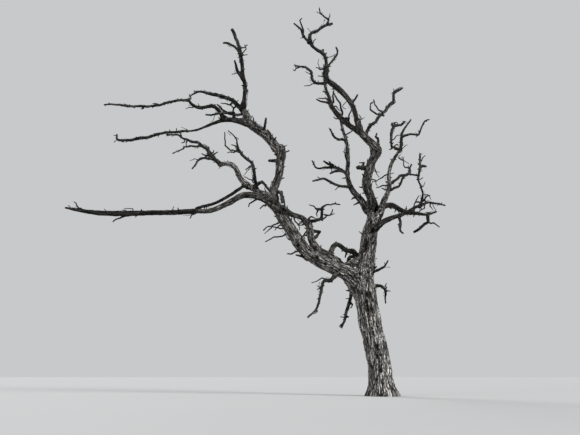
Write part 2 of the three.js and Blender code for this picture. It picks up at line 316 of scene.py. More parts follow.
# %% [markdown]
# The solid model has few bends in a limb. Where the photograph shows that a limb bends or swells a
# little more, its line is pushed aside there. A row gives the limb, the place and the push in
# centimetres, as seen against the upright plane, the swelling in percent, and the reach in centimetres.

# %% Small bends and swellings
NUDGES = """
trunk         -12,80     0.6,0   0   60
trunk         -22,135    0,0     4   45
trunk         -12,155    0.8,0   3   20
right_stem    -13,307   -1,0     2   45
right_stem    -15,287   -0.6,0   0   20
right_stem    -16,375    1,0    -6   18
right_lower    19,349    0,3     0   30
right_upper    44,382    0,4.5   0   28
right_upper    20,374    0,1.5 -10   12
low_right      64,430   -1.5,1.5 0   20
low_right      48,424    0,1.5   0   15
mid_right      51,441   -0.5,0.5 0   25
mid_right      84,466   -3.5,0 -30   12
outer_right    95,452   -4.5,0   0   20
outer_right   104,404   -2,0     0   15
drop_inner     53,335   -1.5,0   0   20
drop_outer     97,328   -1,3     0   20
riser_top      64,525    1.5,0   0   20
riser_side     68,574    0,-5    12  12
riser_side     49,510    0,3     12  13
right_riser    37,458   -2,0     5   20
right_arm_high 50,612    0,0.3   0   22
right_arm_high 10,575   -1,0.8   0   25
leader_lower    8,510    3.2,0  -8   18
leader_lower   10,487   -1.2,0  -8   12
leader_upper    8,510    3.2,0  -8   18
leader_stub   -24,470    0,-2    0   12
inner_stem    -60,549   -2.5,0   0   25
inner_stem    -51,465   -1.2,0   0   50
inner_stem    -33,395    2,1.5   0   25
inner_arm_low -98,434    0,2.5   0   30
inner_arm_mid -108,468   0,5.5   0   17
inner_limb    -91,633    0.5,0   0   25
top_limb      -92,692   -3,0     0   20
top_limb      -25,575   -3.7,0   0   22
top_limb      -52,638   -1.5,-1  0   20
top_spire     -92,692   -4.2,0   0   20
top_spire    -100,748   -1.5,-1.5 0  22
left_fork    -131,686    3.2,1   0   20
spire_twig    -72,737   -4,1     0   20
spire_right  -107,806    1.5,-2.5 0  22
spire_right  -131,790    2,-1.5 -20  14
loop_fall     -48,278    0,3     25  7
loop_fall     -63,286   -1,-2.5  15  8
left_bough   -152,310    1,1     9   28
left_bough   -130,262    1,1.5   0   40
ladder_limb  -130,292   -1.2,-0.5 12 25
ladder_limb  -122,315   -1,0   -10   14
ladder_top   -163,364   -1,-2   -8   22
twig_stand    -89,383    0,1     0   25
twig_stand    -93,385    0,-3    0   5
twig_stand   -116,351    0,1.5   0   20
hanging_far  -117,190   -1,0     0   20
hanging_far  -134,153   -2.5,0   0   12
hanging_far  -104,222    0,2     0   12
hanging_near  -66,162    0.8,0   0   20
hanging_near  -72,140   -2,0     0   12
trunk_twig_low 17,191   -1,0     0   20
left_riser   -197,480    0.5,0   9   28
left_riser   -206,408   -2,0   -15   12
riser_arch   -193,398   -3,0     8   14
left_riser_upper -200,526 -4,-3.5 0  18
left_riser_upper -262,568 0,0    9   25
upright      -271,649   -1.8,0   0   40
upright_top  -299,786    0.5,0   0   30
upright_stub -302,709    2,0     0   12
crest_arm    -352,612    0,-1    0   20
crest_arm_end -508,608   0,2     0   25
neck         -271,590    2,1.5  10   14
back_arm     -302,624   -1,-1.5  0   22
steep_arm    -228,404   -1,-2  -15   14
steep_arm_end -389,524   0,4     0   14
steep_arm_end -375,512   0,1.5   0   12
high_arm_end -436,550    0,1.5   0   45
high_arm_end -510,532    0,1     0   25
long_arm     -384,367    0,2.5   0   30
long_arm_upper -330,393  0,1     10  30
long_arm_upper -365,377  0,2     40  20
long_arm_end -572,364    0,2.2   0   60
long_arm_end -468,369    0,1.5   0   60
long_arm_end -420,364    0,1     0   40
long_arm_end -385,366    0,1.5  12   18
riser_whip    118,568   -0.5,3   0   15
"""
for row in NUDGES.split("\n")[1:-1]:
    name, *words = row.replace(",", " ").split()
    x, z, across, up, swelling, reach = (float(word) / 100 for word in words)
    line = lines[name]
    seen = as_seen(line.points)
    weight = np.exp(-((seen[:, 0] - x) ** 2 + (seen[:, 2] - z) ** 2) / reach**2)
    line.points = line.points + weight[:, None] * np.array([across, 0, up])
    line.radii = line.radii * (1 + weight * swelling)

for name, line in lines.items():
    least, most = line.radii.min() * 1000, line.radii.max() * 1000
    parent = BORNE_BY.get(name, "the ground")
    print(f"{name:18} {line.along[-1]:5.2f} m  {least:4.0f} to {most:4.0f} mm from {parent}")

# %% [markdown]
# The thick wood of a tree is one skin: where two limbs part, it runs on from one to the other without
# a crease. Tubes are laid along the middle lines first, well into one another, with a web of wood
# under each limb where it leaves its parent. A voxel remesh then makes a single closed skin of all of
# them, and a little smoothing later rounds what is left of the creases.

# %% Sizes of the tubes
THICK = 0.045       # a limb with a greater radius than this is part of the one skin
SIDES = 28          # corners round a tube
COLLAR = 0.22       # how much wider a limb is where it leaves its parent
COLLAR_REACH = 0.7  # how far along it that fades, against the radius of the parent
ROOT_FALL = 0.12    # how far up the trunk the roots fade
BURIED = 0.12       # how far the trunk is carried on below the ground, before it is cut there
SLENDER = 0.075     # limbs of a smaller radius than this gain the thickness of their bark
BARK = 0.003
# The rings of a rounded end: how far beyond the line, and how wide, against its last radius.
DOME = ((0.35, 0.92), (0.62, 0.7), (0.78, 0.35))
DOME_TOP = 0.8

# %% Widths of the limbs
# How wide a limb is drawn, against its solid, to look as wide as in the photograph.
SWELL = {"trunk": 1.02, "left_bough": 1.05, "ladder_limb": 1.15, "ladder_top": 1.12, "twig_stand": 1.12,
         "loop_rise": 1.12, "loop_fall": 1.1, "riser_arch": 0.75, "hanging_near": 0.93,
         "left_riser": 1.12, "left_riser_upper": 1.12, "back_arm": 1.2,
         "upright": 1.1, "upright_top": 1.25, "upright_stub": 1.25,
         "right_lower": 1.12, "right_upper": 1.18, "riser_top": 1.35, "riser_whip": 1.4,
         "top_limb": 1.06, "spire_right": 1.25, "spire_top": 1.2}


def frames(line, side):
    """Two directions square to the line at each point, turned as little as possible along it."""
    sides, ups = [], []
    for way in line.ahead():
        side = side - way * (side @ way)
        side = side / np.linalg.norm(side)
        sides.append(side)
        ups.append(np.cross(way, side))
    return np.array(sides), np.array(ups)


def root_profile():
    """How far the roots stand out of the trunk at the ground, for each side of its tube."""
    foot, above = rings["trunk"][0], rings["trunk"][1]
    out = foot - foot.mean(0)
    angles = np.arctan2(out[:, 1], out[:, 0])
    order = angles.argsort()
    reach = np.linalg.norm(out[:, :2], axis=1)[order] - ring_radius(above)
    return lambda angle: np.interp(angle, angles[order], reach, period=2 * math.pi)


flare_at = root_profile()
for name, line in lines.items():
    line.sides, line.ups = frames(line, np.array([1.0, 0.0, 0.0]))
    line.collar = np.zeros(len(line.radii))
    line.radii = line.radii * SWELL.get(name, 1)
    if name in BORNE_BY:
        parent = lines[BORNE_BY[name]]
        bearer = parent.radii[parent.nearest(line.points[0])]
        fade = np.exp(-np.maximum(line.along - bearer, 0) / (COLLAR_REACH * bearer))
        line.collar = fade * COLLAR * min(1, bearer / line.radii[0])
print(len(SWELL), "limbs drawn at another width than their solids")


# %% Tubes
def tube(line, flare=None):
    """Corners and faces of a closed tube along a line, with a rounded end."""
    turn = np.arange(SIDES) * 2 * math.pi / SIDES
    radii = line.radii * (1 + line.collar) + BARK * (line.radii < SLENDER)
    reach = np.repeat(radii[:, None], SIDES, 1)
    if flare:
        reach += flare(turn)[None, :] * np.exp(-np.maximum(line.points[:, 2:3], 0) / ROOT_FALL)
    across, up = np.cos(turn)[None, :, None], np.sin(turn)[None, :, None]
    out = line.sides[:, None] * across + line.ups[:, None] * up
    rows = line.points[:, None] + out * reach[:, :, None]
    way = line.ahead()[-1]
    dome = [line.points[-1] + way * line.radii[-1] * rise + out[-1] * reach[-1][:, None] * width
            for rise, width in DOME]
    rows = np.concatenate([rows, dome])
    ends = [line.points[0], line.points[-1] + way * line.radii[-1] * DOME_TOP]
    corners = np.concatenate([rows.reshape(-1, 3), ends])
    faces = []
    for row in range(len(rows) - 1):
        for k in range(SIDES):
            a, b = row * SIDES + k, row * SIDES + (k + 1) % SIDES
            faces.append((a, b, b + SIDES, a + SIDES))
    foot, top, last = len(corners) - 2, len(corners) - 1, (len(rows) - 1) * SIDES
    faces += [(foot, (k + 1) % SIDES, k) for k in range(SIDES)]
    faces += [(top, last + k, last + (k + 1) % SIDES) for k in range(SIDES)]
    return corners, faces


# %% Webs and fills
FILLER_RINGS = 9
# How far down the parent a web starts, in radii of the parent and of the limb, and how far up the limb
# it ends. It is a curve drawn towards the fork, and is as wide as the limb times these three widths.
WEB_DOWN, WEB_DOWN_THIN, WEB_UP = 0.4, 3.0, 1.2
WEB_SAG = 0.35
WEB_WIDTHS = (0.6, 0.92, 0.88)
NO_WEB = {"inner_stem", "right_lower", "top_limb", "right_upper", "left_riser"}
# Wood that fills the upper side of a fork: two limbs, where each is seen, and the radius, in centimetres.
FILLS = (("left_bough", (-75, 247), "right_stem", (-16, 274), 8.9),)


def filler(points, radii, side):
    """The line of a short tube that fills up wood between two limbs."""
    line = Line(points, radii)
    line.sides, line.ups = frames(line, np.array(side))
    line.collar = np.zeros(len(line.radii))
    return line


def web(name):
    """A short tube that fills the crotch under a limb, as the wood that bears its weight does."""
    line, parent = lines[name], lines[BORNE_BY[name]]
    j = parent.nearest(line.points[0])
    thick_here, thin_here = parent.radii[j], line.radii[0]
    down = parent.along[j] - WEB_DOWN * thick_here - WEB_DOWN_THIN * thin_here
    low = max(0, np.searchsorted(parent.along, down))
    high = min(len(line.points) - 1, np.searchsorted(line.along, thick_here + WEB_UP * thin_here))
    up = parent.ahead()[low]
    out = line.points[high] - parent.points[low]
    out -= up * (out @ up)
    start = parent.points[low] + out / np.linalg.norm(out) * max(parent.radii[low] - thin_here, 0)
    bend = WEB_SAG * line.points[0] + (1 - WEB_SAG) * (start + line.points[high]) / 2
    t = np.linspace(0, 1, FILLER_RINGS)[:, None]
    points = (1 - t) ** 2 * start + 2 * t * (1 - t) * bend + t ** 2 * line.points[high]
    return filler(points, thin_here * np.interp(t.ravel(), (0, 0.5, 1), WEB_WIDTHS), (1.0, 0.0, 0.0))


def fill(first, first_place, second, second_place, radius):
    """A short tube from the middle of one limb to that of another, which raises the fork between them."""
    ends = []
    for name, (x, z) in ((first, first_place), (second, second_place)):
        seen = as_seen(lines[name].points)
        ends.append(lines[name].points[np.hypot(seen[:, 0] - x / 100, seen[:, 2] - z / 100).argmin()])
    points = ends[0] + np.linspace(0, 1, FILLER_RINGS)[:, None] * (ends[1] - ends[0])
    return filler(points, np.full(FILLER_RINGS, radius / 100), (0.0, 1.0, 0.0))


# %% Core of the thick limbs
def joined(parts):
    """One mesh's worth of corners and faces out of several."""
    corners, faces, base = [], [], 0
    for places, polygons in parts:
        corners.append(places)
        faces += [tuple(i + base for i in polygon) for polygon in polygons]
        base += len(places)
    return np.concatenate(corners), faces


def new_object(name, corners, faces):
    """An object with a mesh of the given corners and faces."""
    mesh = bpy.data.meshes.new(name)
    mesh.from_pydata([tuple(c) for c in corners], [], faces)
    mesh.update()
    thing = bpy.data.objects.new(name, mesh)
    bpy.context.collection.objects.link(thing)
    return thing


thick = [name for name, line in lines.items() if line.radii.max() > THICK]
trunk = lines["trunk"]
trunk.points[0, 2] -= BURIED
thick_tubes = [tube(lines[name], flare=flare_at if name == "trunk" else None) for name in thick]
thick_tubes += [tube(web(name)) for name in thick if name in BORNE_BY and name not in NO_WEB]
thick_tubes += [tube(fill(*row)) for row in FILLS]
core = new_object("core", *joined(thick_tubes))
print(len(thick), "thick limbs in a core of", len(core.data.polygons), "faces")

# %% [markdown]
# A boolean union of so many tubes is slow and leaves a sharp seam at every fork. The voxel remesh fills
# the tubes with small cubes and wraps one even skin round them all, which relief can be pressed into.

# %% One skin
VOXEL = 0.010


def baked(thing, name):
    """A new object with the modifiers of the old one applied, which is removed."""
    settled = bpy.context.evaluated_depsgraph_get()
    mesh = bpy.data.meshes.new_from_object(thing.evaluated_get(settled), depsgraph=settled)
    mesh.name = name
    done = bpy.data.objects.new(name, mesh)
    bpy.context.collection.objects.link(done)
    bpy.data.objects.remove(thing)
    return done


remesh = core.modifiers.new("one skin", "REMESH")
remesh.mode = "VOXEL"
remesh.voxel_size = VOXEL
remesh.use_smooth_shade = True
skin = baked(core, "skin")
print("skin has", len(skin.data.polygons), "faces")

# %% [markdown]
# Grain runs along a limb and turns slowly round it, as it does in old pine. Each corner of the skin
# is given its place in that grain: two numbers round the limb and one along it. A pattern drawn in
# those numbers follows the wood through every bend. Where limbs part, a corner also gets its place
# in the grain of the limb beside it, so that the two patterns can run into one another. An unwrapped
# texture would need a seam down every limb, and this needs none.

# %% Grain of the skin
TWIST = -0.25      # how far the grain turns round a limb, in radians a metre
MERGE = 0.45       # how much farther away, in radii, the other limb is where its grain ends
GRAIN_APART = 3.7  # between the grain of one limb and that of the next, so that no two are alike
NEARBY = 0.5       # how far from its line a limb is looked for
BATCH = 4000       # corners measured at once
NO_LIMB = 0.1      # the girth of a corner that has no limb near it


def grain_of(places, names):
    """Grain, girth and direction of the two limbs that each place is nearest to, the nearest first."""
    count = len(places)
    ratios = np.full((count, 2), np.inf)
    which = np.zeros((count, 2), int)
    grain = np.zeros((count, 2, 3))
    girth = np.full((count, 2), NO_LIMB)
    forward = np.zeros((count, 2, 3))
    for index, name in enumerate(names):
        line = lines[name]
        ways = line.ahead()
        size = line.radii.mean()
        low, high = line.points.min(0) - NEARBY, line.points.max(0) + NEARBY
        near = np.flatnonzero(((places > low) & (places < high)).all(1))
        for part in np.array_split(near, max(1, len(near) // BATCH)):
            gaps = np.linalg.norm(places[part][:, None] - line.points[None], axis=2)
            i = gaps.argmin(1)
            ratio = gaps[np.arange(len(part)), i] / (line.radii[i] * (1 + line.collar[i]))
            off = places[part] - line.points[i]
            along = line.along[i] + (off * ways[i]).sum(1)
            angle = np.arctan2((off * line.ups[i]).sum(1), (off * line.sides[i]).sum(1)) + TWIST * along
            turned = (np.cos(angle) * size, np.sin(angle) * size)
            here = np.column_stack([*turned, along + GRAIN_APART * index])
            for rank in (1, 0):
                wins = ratio < ratios[part, rank]
                chosen = part[wins]
                if rank == 0:
                    for values in (ratios, which, grain, girth, forward):
                        values[chosen, 1] = values[chosen, 0]
                ratios[chosen, rank] = ratio[wins]
                which[chosen, rank] = index
                grain[chosen, rank] = here[wins]
                girth[chosen, rank] = size
                forward[chosen, rank] = ways[i[wins]]
    lead = np.clip((ratios[:, 1] - ratios[:, 0]) / MERGE, 0, 1)
    share = 0.5 - 0.5 * lead * lead * (3 - 2 * lead)
    return grain, girth, forward, which[:, 0], share


# Painted shade: how much of its lightness a limb loses, from none at 0, and what the thin limbs lose.
LIMB_PAINTED_SHADE = {"left_bough": 0.12, "left_riser": 0.47, "left_riser_upper": 0.37, "neck": 0.4,
       "right_stem": 0.1, "leader_lower": 0.53, "leader_upper": 0.48, "right_lower": 0.7,
       "inner_stem": 0.42, "inner_limb": 0.8, "top_limb": 0.7, "long_arm": 0.58, "steep_arm": 0.0,
       "high_arm": 0.7, "ladder_limb": 0.0, "ladder_top": 0.45, "loop_rise": 0.45}
THIN_PAINTED_SHADE = 0.84
# Painted light: low on its right, the side that the key sun lights, the trunk is painted lighter in spots.
# A spot is given by its x and z, half its width and half its height, in metres on the upright plane.
PAINTED_LIGHT_SPOTS = ((0.08, 0.76, 0.06, 0.10), (0.10, 0.50, 0.08, 0.22), (0.12, 0.24, 0.09, 0.16),
        (0.05, 0.62, 0.05, 0.10))
PAINTED_LIGHT = 0.6


def painted_light_share(places):
    """How far each place lies in a spot of painted light, on the side that faces the camera."""
    seen = as_seen(places)
    inside = [np.exp(-np.hypot((seen[:, 0] - x) / width, (seen[:, 2] - z) / height) ** 4)
              for x, z, width, height in PAINTED_LIGHT_SPOTS]
    return np.max(inside, axis=0) * (places[:, 1] < 0)


def corners_of(thing):
    """The places of an object's corners."""
    places = np.empty(len(thing.data.vertices) * 3)
    thing.data.vertices.foreach_get("co", places)
    return places.reshape(-1, 3)


def remember(thing, name, kind, values):
    """Keeps a number or a vector for each corner, for nodes and materials to read."""
    attribute = thing.data.attributes.new(name, kind, "POINT")
    key = "vector" if kind == "FLOAT_VECTOR" else "value"
    attribute.data.foreach_set(key, np.ascontiguousarray(values, float).ravel())


grain, girth, forward, owner, beside = grain_of(corners_of(skin), thick)
remember(skin, "grain", "FLOAT_VECTOR", grain[:, 0])
remember(skin, "grain_beside", "FLOAT_VECTOR", grain[:, 1])
remember(skin, "girth", "FLOAT", girth[:, 0] * (1 - beside) + girth[:, 1] * beside)
remember(skin, "share", "FLOAT", beside)
remember(skin, "forward", "FLOAT_VECTOR", forward[:, 0])
# Painted shade of each thick limb.
painted_shades = np.array([LIMB_PAINTED_SHADE.get(name, THIN_PAINTED_SHADE if SLOT_OF[name] == "dead_branch" else 0) for name in thick])
# The trunk's spots of painted light take some of that painted shade away.
remember(skin, "dim", "FLOAT", painted_shades[owner] - PAINTED_LIGHT * painted_light_share(corners_of(skin)))
print("grain found for", len(grain), "corners")

# %% [markdown]
# Where a branch once stood the wood has grown round its stump. Most of these scars have rotted to a
# pit with a raised lip, painted near black as the shade in the hole. For each one the list gives its x
# and z, in centimetres on the upright plane, and its width. The corners near it are pushed in or out
# before the bark is drawn. A boolean could cut the pits, but its rims would be sharp.

# %% Knots and pits
KNOTS = """
-20,165,9.5 -12,166,11 -21,195,9 -14,196,8 -22,181,5 -10,181,4 -6,93,9 -6,74,7 -18,56,6 2,76,5 1,48,6
-31,198,5 -5,205,5 -20,222,6 -3,182,4 -30,120,4 -14,128,4 -24,100,3 -10,31,4 -17,143,3
-4,327,9 -4,300,5 -20,299,13 -21,289,11 -12,268,5 -34,236,5 -17,240,5 -8,345,6 6,372,11 -9,388,6
-52,232,5 -75,244,4 -104,256,5 -131,270,4 -158,296,5.5 -176,330,4 -196,365,5 -205,384,6
-228,543,6 -199,455,5 -196,487,6 -208,519,4 -245,560,5 -9,440,5 -6,462,5 2,487,6 10,503,6 -10,530,5
-268,400,5 -300,388,4 -238,411,4 -262,428,4 -100,276,4 -122,293,5 -134,330,4
"""
WITHIN = 0.04      # how far beside its place a knot may be set
NEARER = 0.1       # how much a corner nearer to the camera is preferred
FAR_SIDE = 9       # keeps a knot off the far side of a limb
PIT_DEPTH = 0.34   # against the width of the knot, as the height of the lip is
LIP = 0.12
PIT_SHARE = 0.9    # how much of the knot is pit
LIP_AT = 1.35      # where the lip is highest, in half widths of the knot
LIP_WIDTH = 0.35
RAGGED = 0.35      # how uneven its outline is, and how fine
RAGGED_FINE = 2.5
KNOT_LENGTH = 1.6  # a knot is this much longer along the grain
KNOT_REACH = 3     # how far round a knot the skin may be pushed, in half widths


def press_knots(thing):
    """Pushes knots into the skin, keeps how deep in a pit each corner lies for its painted shade, and counts
    the knots.
    """
    places = corners_of(thing)
    normals = np.empty(len(places) * 3)
    thing.data.vertices.foreach_get("normal", normals)
    normals = normals.reshape(-1, 3)
    seen = as_seen(places)
    facing = (normals * (PLANE_EYE - places)).sum(1) > 0
    pit = np.zeros(len(places))
    pressed = 0
    for knot in KNOTS.split():
        x, z, width = (float(v) / 100 for v in knot.split(","))
        gap = np.hypot(seen[:, 0] - x, seen[:, 2] - z) + (~facing) * FAR_SIDE
        close = np.flatnonzero(gap < WITHIN)
        if len(close) == 0:
            continue
        nearest = close[(gap[close] + NEARER * places[close, 1]).argmin()]
        off = places - places[nearest]
        along = off @ forward[nearest, 0]
        off -= np.outer(along, forward[nearest, 0]) * (1 - 1 / KNOT_LENGTH)
        reach = np.linalg.norm(off, axis=1) / (width / 2)
        around = np.flatnonzero(reach < KNOT_REACH)
        uneven = [RAGGED * ragged_by(Vector(place / width * RAGGED_FINE)) for place in places[around]]
        reach = reach[around] + uneven
        hole = np.exp(-(np.maximum(reach, 0) / PIT_SHARE) ** 4)
        lip = np.exp(-((reach - LIP_AT) / LIP_WIDTH) ** 2)
        places[around] += normals[around] * ((lip * LIP - hole * PIT_DEPTH) * width)[:, None]
        # How deep in the pit, which the bark paints dark as shade.
        pit[around] = np.maximum(pit[around], hole)
        pressed += 1
    thing.data.vertices.foreach_set("co", places.ravel())
    thing.data.update()
    remember(thing, "pit", "FLOAT", pit)
    return pressed


print(press_knots(skin), "knots pressed into the skin")

# %% [markdown]
# Old wood is never a smooth pipe. Under the bark it swells and sinks along its grain, and the bark
# itself has cracked into long plates. Geometry Nodes push each corner of the skin along its normal:
# broad lumps first, then lengthwise flutes, then narrow cracks. The depth of each is a modifier input.

# %% Trees of nodes
def geometry_group(name, sockets):
    """A node group with a geometry input and output and the named inputs."""
    group = bpy.data.node_groups.new(name, "GeometryNodeTree")
    group.interface.new_socket("Geometry", in_out="INPUT", socket_type="NodeSocketGeometry")
    group.interface.new_socket("Geometry", in_out="OUTPUT", socket_type="NodeSocketGeometry")
    for label, kind in sockets.items():
        group.interface.new_socket(label, in_out="INPUT", socket_type="NodeSocket" + kind)
    return group, put(group, "NodeGroupInput").outputs, put(group, "NodeGroupOutput").inputs


def dress(thing, group, values):
    """Puts a geometry group on an object as a modifier, with its inputs filled in."""
    modifier = thing.modifiers.new(group.name, "NODES")
    modifier.node_group = group
    labels = {item.name: item.identifier for item in group.interface.items_tree if item.in_out == "INPUT"}
    for label, value in values.items():
        modifier[labels[label]] = value


def filled(tree, node, values):
    """Links or fills the inputs of a node in turn, and gives its first output."""
    for socket, value in zip(node.inputs, values):
        if isinstance(value, bpy.types.NodeSocket):
            tree.links.new(value, socket)
        else:
            socket.default_value = value
    return node.outputs[0]


def math_node(tree, operation, *values, clamp=False):
    """The result of a maths node of two or three values."""
    return filled(tree, put(tree, "ShaderNodeMath", operation=operation, use_clamp=clamp), values)


def vector_node(tree, operation, *values):
    """The vector result of a vector maths node."""
    return filled(tree, put(tree, "ShaderNodeVectorMath", operation=operation), values)


def scaled_by(tree, vector, factor):
    """A vector times a number."""
    return filled(tree, put(tree, "ShaderNodeVectorMath", {"Scale": factor}, operation="SCALE"), [vector])


def stretched(tree, vector, length):
    """A vector whose third number is made smaller, so that a pattern is drawn out along the grain."""
    return vector_node(tree, "MULTIPLY", vector, (1, 1, length))


def mixed(tree, share, first, second):
    """A number between two others."""
    return put(tree, "ShaderNodeMix", {"Factor": share, "A": first, "B": second}).outputs["Result"]


def stored(tree, name, kind="FLOAT"):
    """A number or a vector that is kept for each corner."""
    return put(tree, "GeometryNodeInputNamedAttribute", {"Name": name}, data_type=kind).outputs["Attribute"]


def with_stored(tree, geometry, name, value, kind="FLOAT"):
    """A geometry whose points keep a number or a vector under a name."""
    inputs = {"Geometry": geometry, "Name": name, "Value": value}
    return put(tree, "GeometryNodeStoreNamedAttribute", inputs, data_type=kind, domain="POINT").outputs[0]


def moved(tree, geometry, offset):
    """A geometry whose points are moved by an offset."""
    return put(tree, "GeometryNodeSetPosition", {"Geometry": geometry, "Offset": offset}).outputs[0]


def shaded_smooth(tree, geometry):
    """A geometry whose faces are shaded as one round surface."""
    return put(tree, "GeometryNodeSetShadeSmooth", {"Geometry": geometry}).outputs[0]


def finished(tree, geometry, material, result):
    """Ends a tree: real geometry with its material goes to the output."""
    real = put(tree, "GeometryNodeRealizeInstances", {"Geometry": geometry}).outputs[0]
    inputs = {"Geometry": real, "Material": material}
    tree.links.new(put(tree, "GeometryNodeSetMaterial", inputs).outputs[0], result["Geometry"])


# %% Patterns for relief and colour
def noise(tree, vector, scale, detail=2.0, roughness=0.5, distortion=0.0):
    """A noise of about 0 to 1, as a number."""
    inputs = {"Vector": vector, "Scale": scale, "Detail": detail}
    inputs.update({"Roughness": roughness, "Distortion": distortion})
    return put(tree, "ShaderNodeTexNoise", inputs).outputs[0]


def level(tree, value, low, high):
    """A value eased from 0 at low to 1 at high."""
    inputs = {"Value": value, "From Min": low, "From Max": high}
    return put(tree, "ShaderNodeMapRange", inputs, interpolation_type="SMOOTHSTEP").outputs["Result"]


# How near to the edge of a plate, or to the fold of a noise, the floor and the top of a groove's wall lie.
PLATE_EDGE = (0.01, 0.22)
RIDGE_EDGE = (0.0, 0.10)
PLATE_SHARE = 0.75


def grooves(tree, vector, width):
    """0 in narrow winding grooves about a width apart, and 1 between them."""
    fine = math_node(tree, "DIVIDE", 1.0, width)
    coarse = math_node(tree, "MULTIPLY", fine, 0.5)
    warp = put(tree, "ShaderNodeTexNoise", {"Vector": vector, "Scale": coarse})
    bend = scaled_by(tree, vector_node(tree, "SUBTRACT", warp.outputs["Color"], (0.5, 0.5, 0.5)), width)
    wavy = vector_node(tree, "ADD", vector, bend)
    cells = {"Vector": wavy, "Scale": math_node(tree, "MULTIPLY", fine, 0.7), "Randomness": 1.0}
    edge = put(tree, "ShaderNodeTexVoronoi", cells, feature="DISTANCE_TO_EDGE").outputs["Distance"]
    plate = level(tree, edge, *PLATE_EDGE)
    folded = math_node(tree, "SUBTRACT", noise(tree, wavy, fine, 3.0, 0.6), 0.5)
    ridge = level(tree, math_node(tree, "ABSOLUTE", folded), *RIDGE_EDGE)
    plated = math_node(tree, "MULTIPLY_ADD", plate, PLATE_SHARE, 1 - PLATE_SHARE)
    return math_node(tree, "MULTIPLY", plated, ridge)


# %% Bark relief nodes
TRUNK_GIRTH = 0.22   # the radius of the trunk, against which thinner limbs have finer cracks
EASINGS = 3          # how often the skin is smoothed
# The size of a pattern, in patterns to a girth, and how far it is drawn out along the grain.
LUMP_SIZE = 0.55
FLUTE_SIZE, FLUTE_STRETCH = 1.6, 0.16
CRUMB_SIZE = 40.0    # crumbs to a metre


def relief_group():
    """Lumps, flutes, cracks and crumbs pushed into a skin along its normal."""
    sizes = ("Lumps", "Flutes", "Cracks", "Crack Width", "Crack Stretch", "Crumbs")
    sockets = {"Bark": "Material", **dict.fromkeys(sizes, "Float")}
    group, given, result = geometry_group("bark relief", sockets)
    girth, share, pit = (stored(group, name) for name in ("girth", "share", "pit"))
    grains = [stored(group, name, "FLOAT_VECTOR") for name in ("grain", "grain_beside")]
    here = put(group, "GeometryNodeInputPosition").outputs[0]
    inputs = {"Value": here, "Iterations": EASINGS}
    eased = put(group, "GeometryNodeBlurAttribute", inputs, data_type="FLOAT_VECTOR")
    inputs = {"Geometry": given["Geometry"], "Position": eased.outputs["Value"]}
    smooth = put(group, "GeometryNodeSetPosition", inputs).outputs[0]

    broad, coarse = (math_node(group, "DIVIDE", size, girth) for size in (LUMP_SIZE, FLUTE_SIZE))
    lumps = math_node(group, "SUBTRACT", noise(group, here, broad), 0.5)
    flutes = [noise(group, stretched(group, grain, FLUTE_STRETCH), coarse, 3.0) for grain in grains]
    fluted = math_node(group, "SUBTRACT", mixed(group, share, *flutes), 0.5)
    swell = math_node(group, "ADD", math_node(group, "MULTIPLY", lumps, given["Lumps"]),
                      math_node(group, "MULTIPLY", fluted, given["Flutes"]))

    thinner = math_node(group, "POWER", math_node(group, "DIVIDE", girth, TRUNK_GIRTH), 0.5)
    width = math_node(group, "MULTIPLY", given["Crack Width"], thinner)
    length = math_node(group, "DIVIDE", 1.0, given["Crack Stretch"])
    squash = put(group, "ShaderNodeCombineXYZ", {"X": 1.0, "Y": 1.0, "Z": length}).outputs[0]
    cracked = [grooves(group, vector_node(group, "MULTIPLY", grain, squash), width) for grain in grains]
    hollow = math_node(group, "SUBTRACT", 1.0, mixed(group, share, *cracked))
    deep = math_node(group, "MULTIPLY", math_node(group, "MULTIPLY", given["Cracks"], thinner), -1.0)
    cracks = math_node(group, "MULTIPLY", hollow, deep)

    crumb = math_node(group, "SUBTRACT", noise(group, here, CRUMB_SIZE, 3.0, 0.6), 0.5)
    rough = math_node(group, "ADD", math_node(group, "MULTIPLY", crumb, given["Crumbs"]), cracks)
    total = math_node(group, "MULTIPLY_ADD", swell, girth, rough)
    pushed = moved(group, smooth, scaled_by(group, put(group, "GeometryNodeInputNormal").outputs[0], total))
    # Keeps how deep each corner lies in a crack or a pit, for the painted shade of the bark.
    kept = with_stored(group, pushed, "hollow", math_node(group, "MAXIMUM", hollow, pit))
    finished(group, kept, given["Bark"], result)
    return group


# %% [markdown]
# Weathered pine is a silvery grey, painted nearly black as shade down in the cracks. The wood material
# mixes the two greys by noises drawn along the grain, and darkens them by how deep the relief lies, as
# painted shade. A few dark seams run through it. Each of the three finishes has its own greys and its
# own size of pattern. The noises are also the height of a fine bump.

# %% Wood materials
WOOD_ROUGHNESS = 0.9
WOOD_SHINE = 0.05
BUMP_STRENGTH = 0.9
BUMP_SHARE = 0.4     # the height of the bump, against the size of a cell of the pattern
# How far the noise of the seams is from the middle of its range where a seam is black, and where it ends.
SEAM = (0.005, 0.05)
# The values of the noise of hairs between which the wood goes from dark to light.
HAIR_EDGE = (0.38, 0.60)
HAIR_HEIGHT = 0.35   # how high the hairs stand in the bump, against the streaks and the plates
# How much of the lightness each pattern gives. The rest of it is there in any case.
STREAK_PART, HAIR_PART, BLOTCH_PART = 0.40, 0.45, 0.15
FINE_PART = 0.4
PLATE_PART = 0.55
CRUMB_PART = 0.4     # crumbs have no direction, and take more of the pattern where two limbs meet


def wood_patterns(tree, grain, cell, stretch):
    """Streaks, dark seams, fine hairs, blotches, crumbs and plates, drawn along one grain."""
    def drawn(length, fineness, *look):
        """A noise of some length and fineness. Its look is its detail, roughness and distortion."""
        return noise(tree, stretched(tree, grain, length), fineness / cell, *look)

    streak = drawn(stretch, 1, 3.0, 0.6, 0.3)
    seam = drawn(stretch, 0.36, 4.0, 0.6, 0.2)
    hair = drawn(0.5 * stretch, 1.8, 3.0, 0.6)
    blotch = drawn(0.35, 0.25, 3.0, 0.6)
    crumb = drawn(0.4, 1.3, 3.0, 0.7)
    return streak, seam, hair, blotch, crumb, grooves(tree, stretched(tree, grain, stretch), 0.7 * cell)


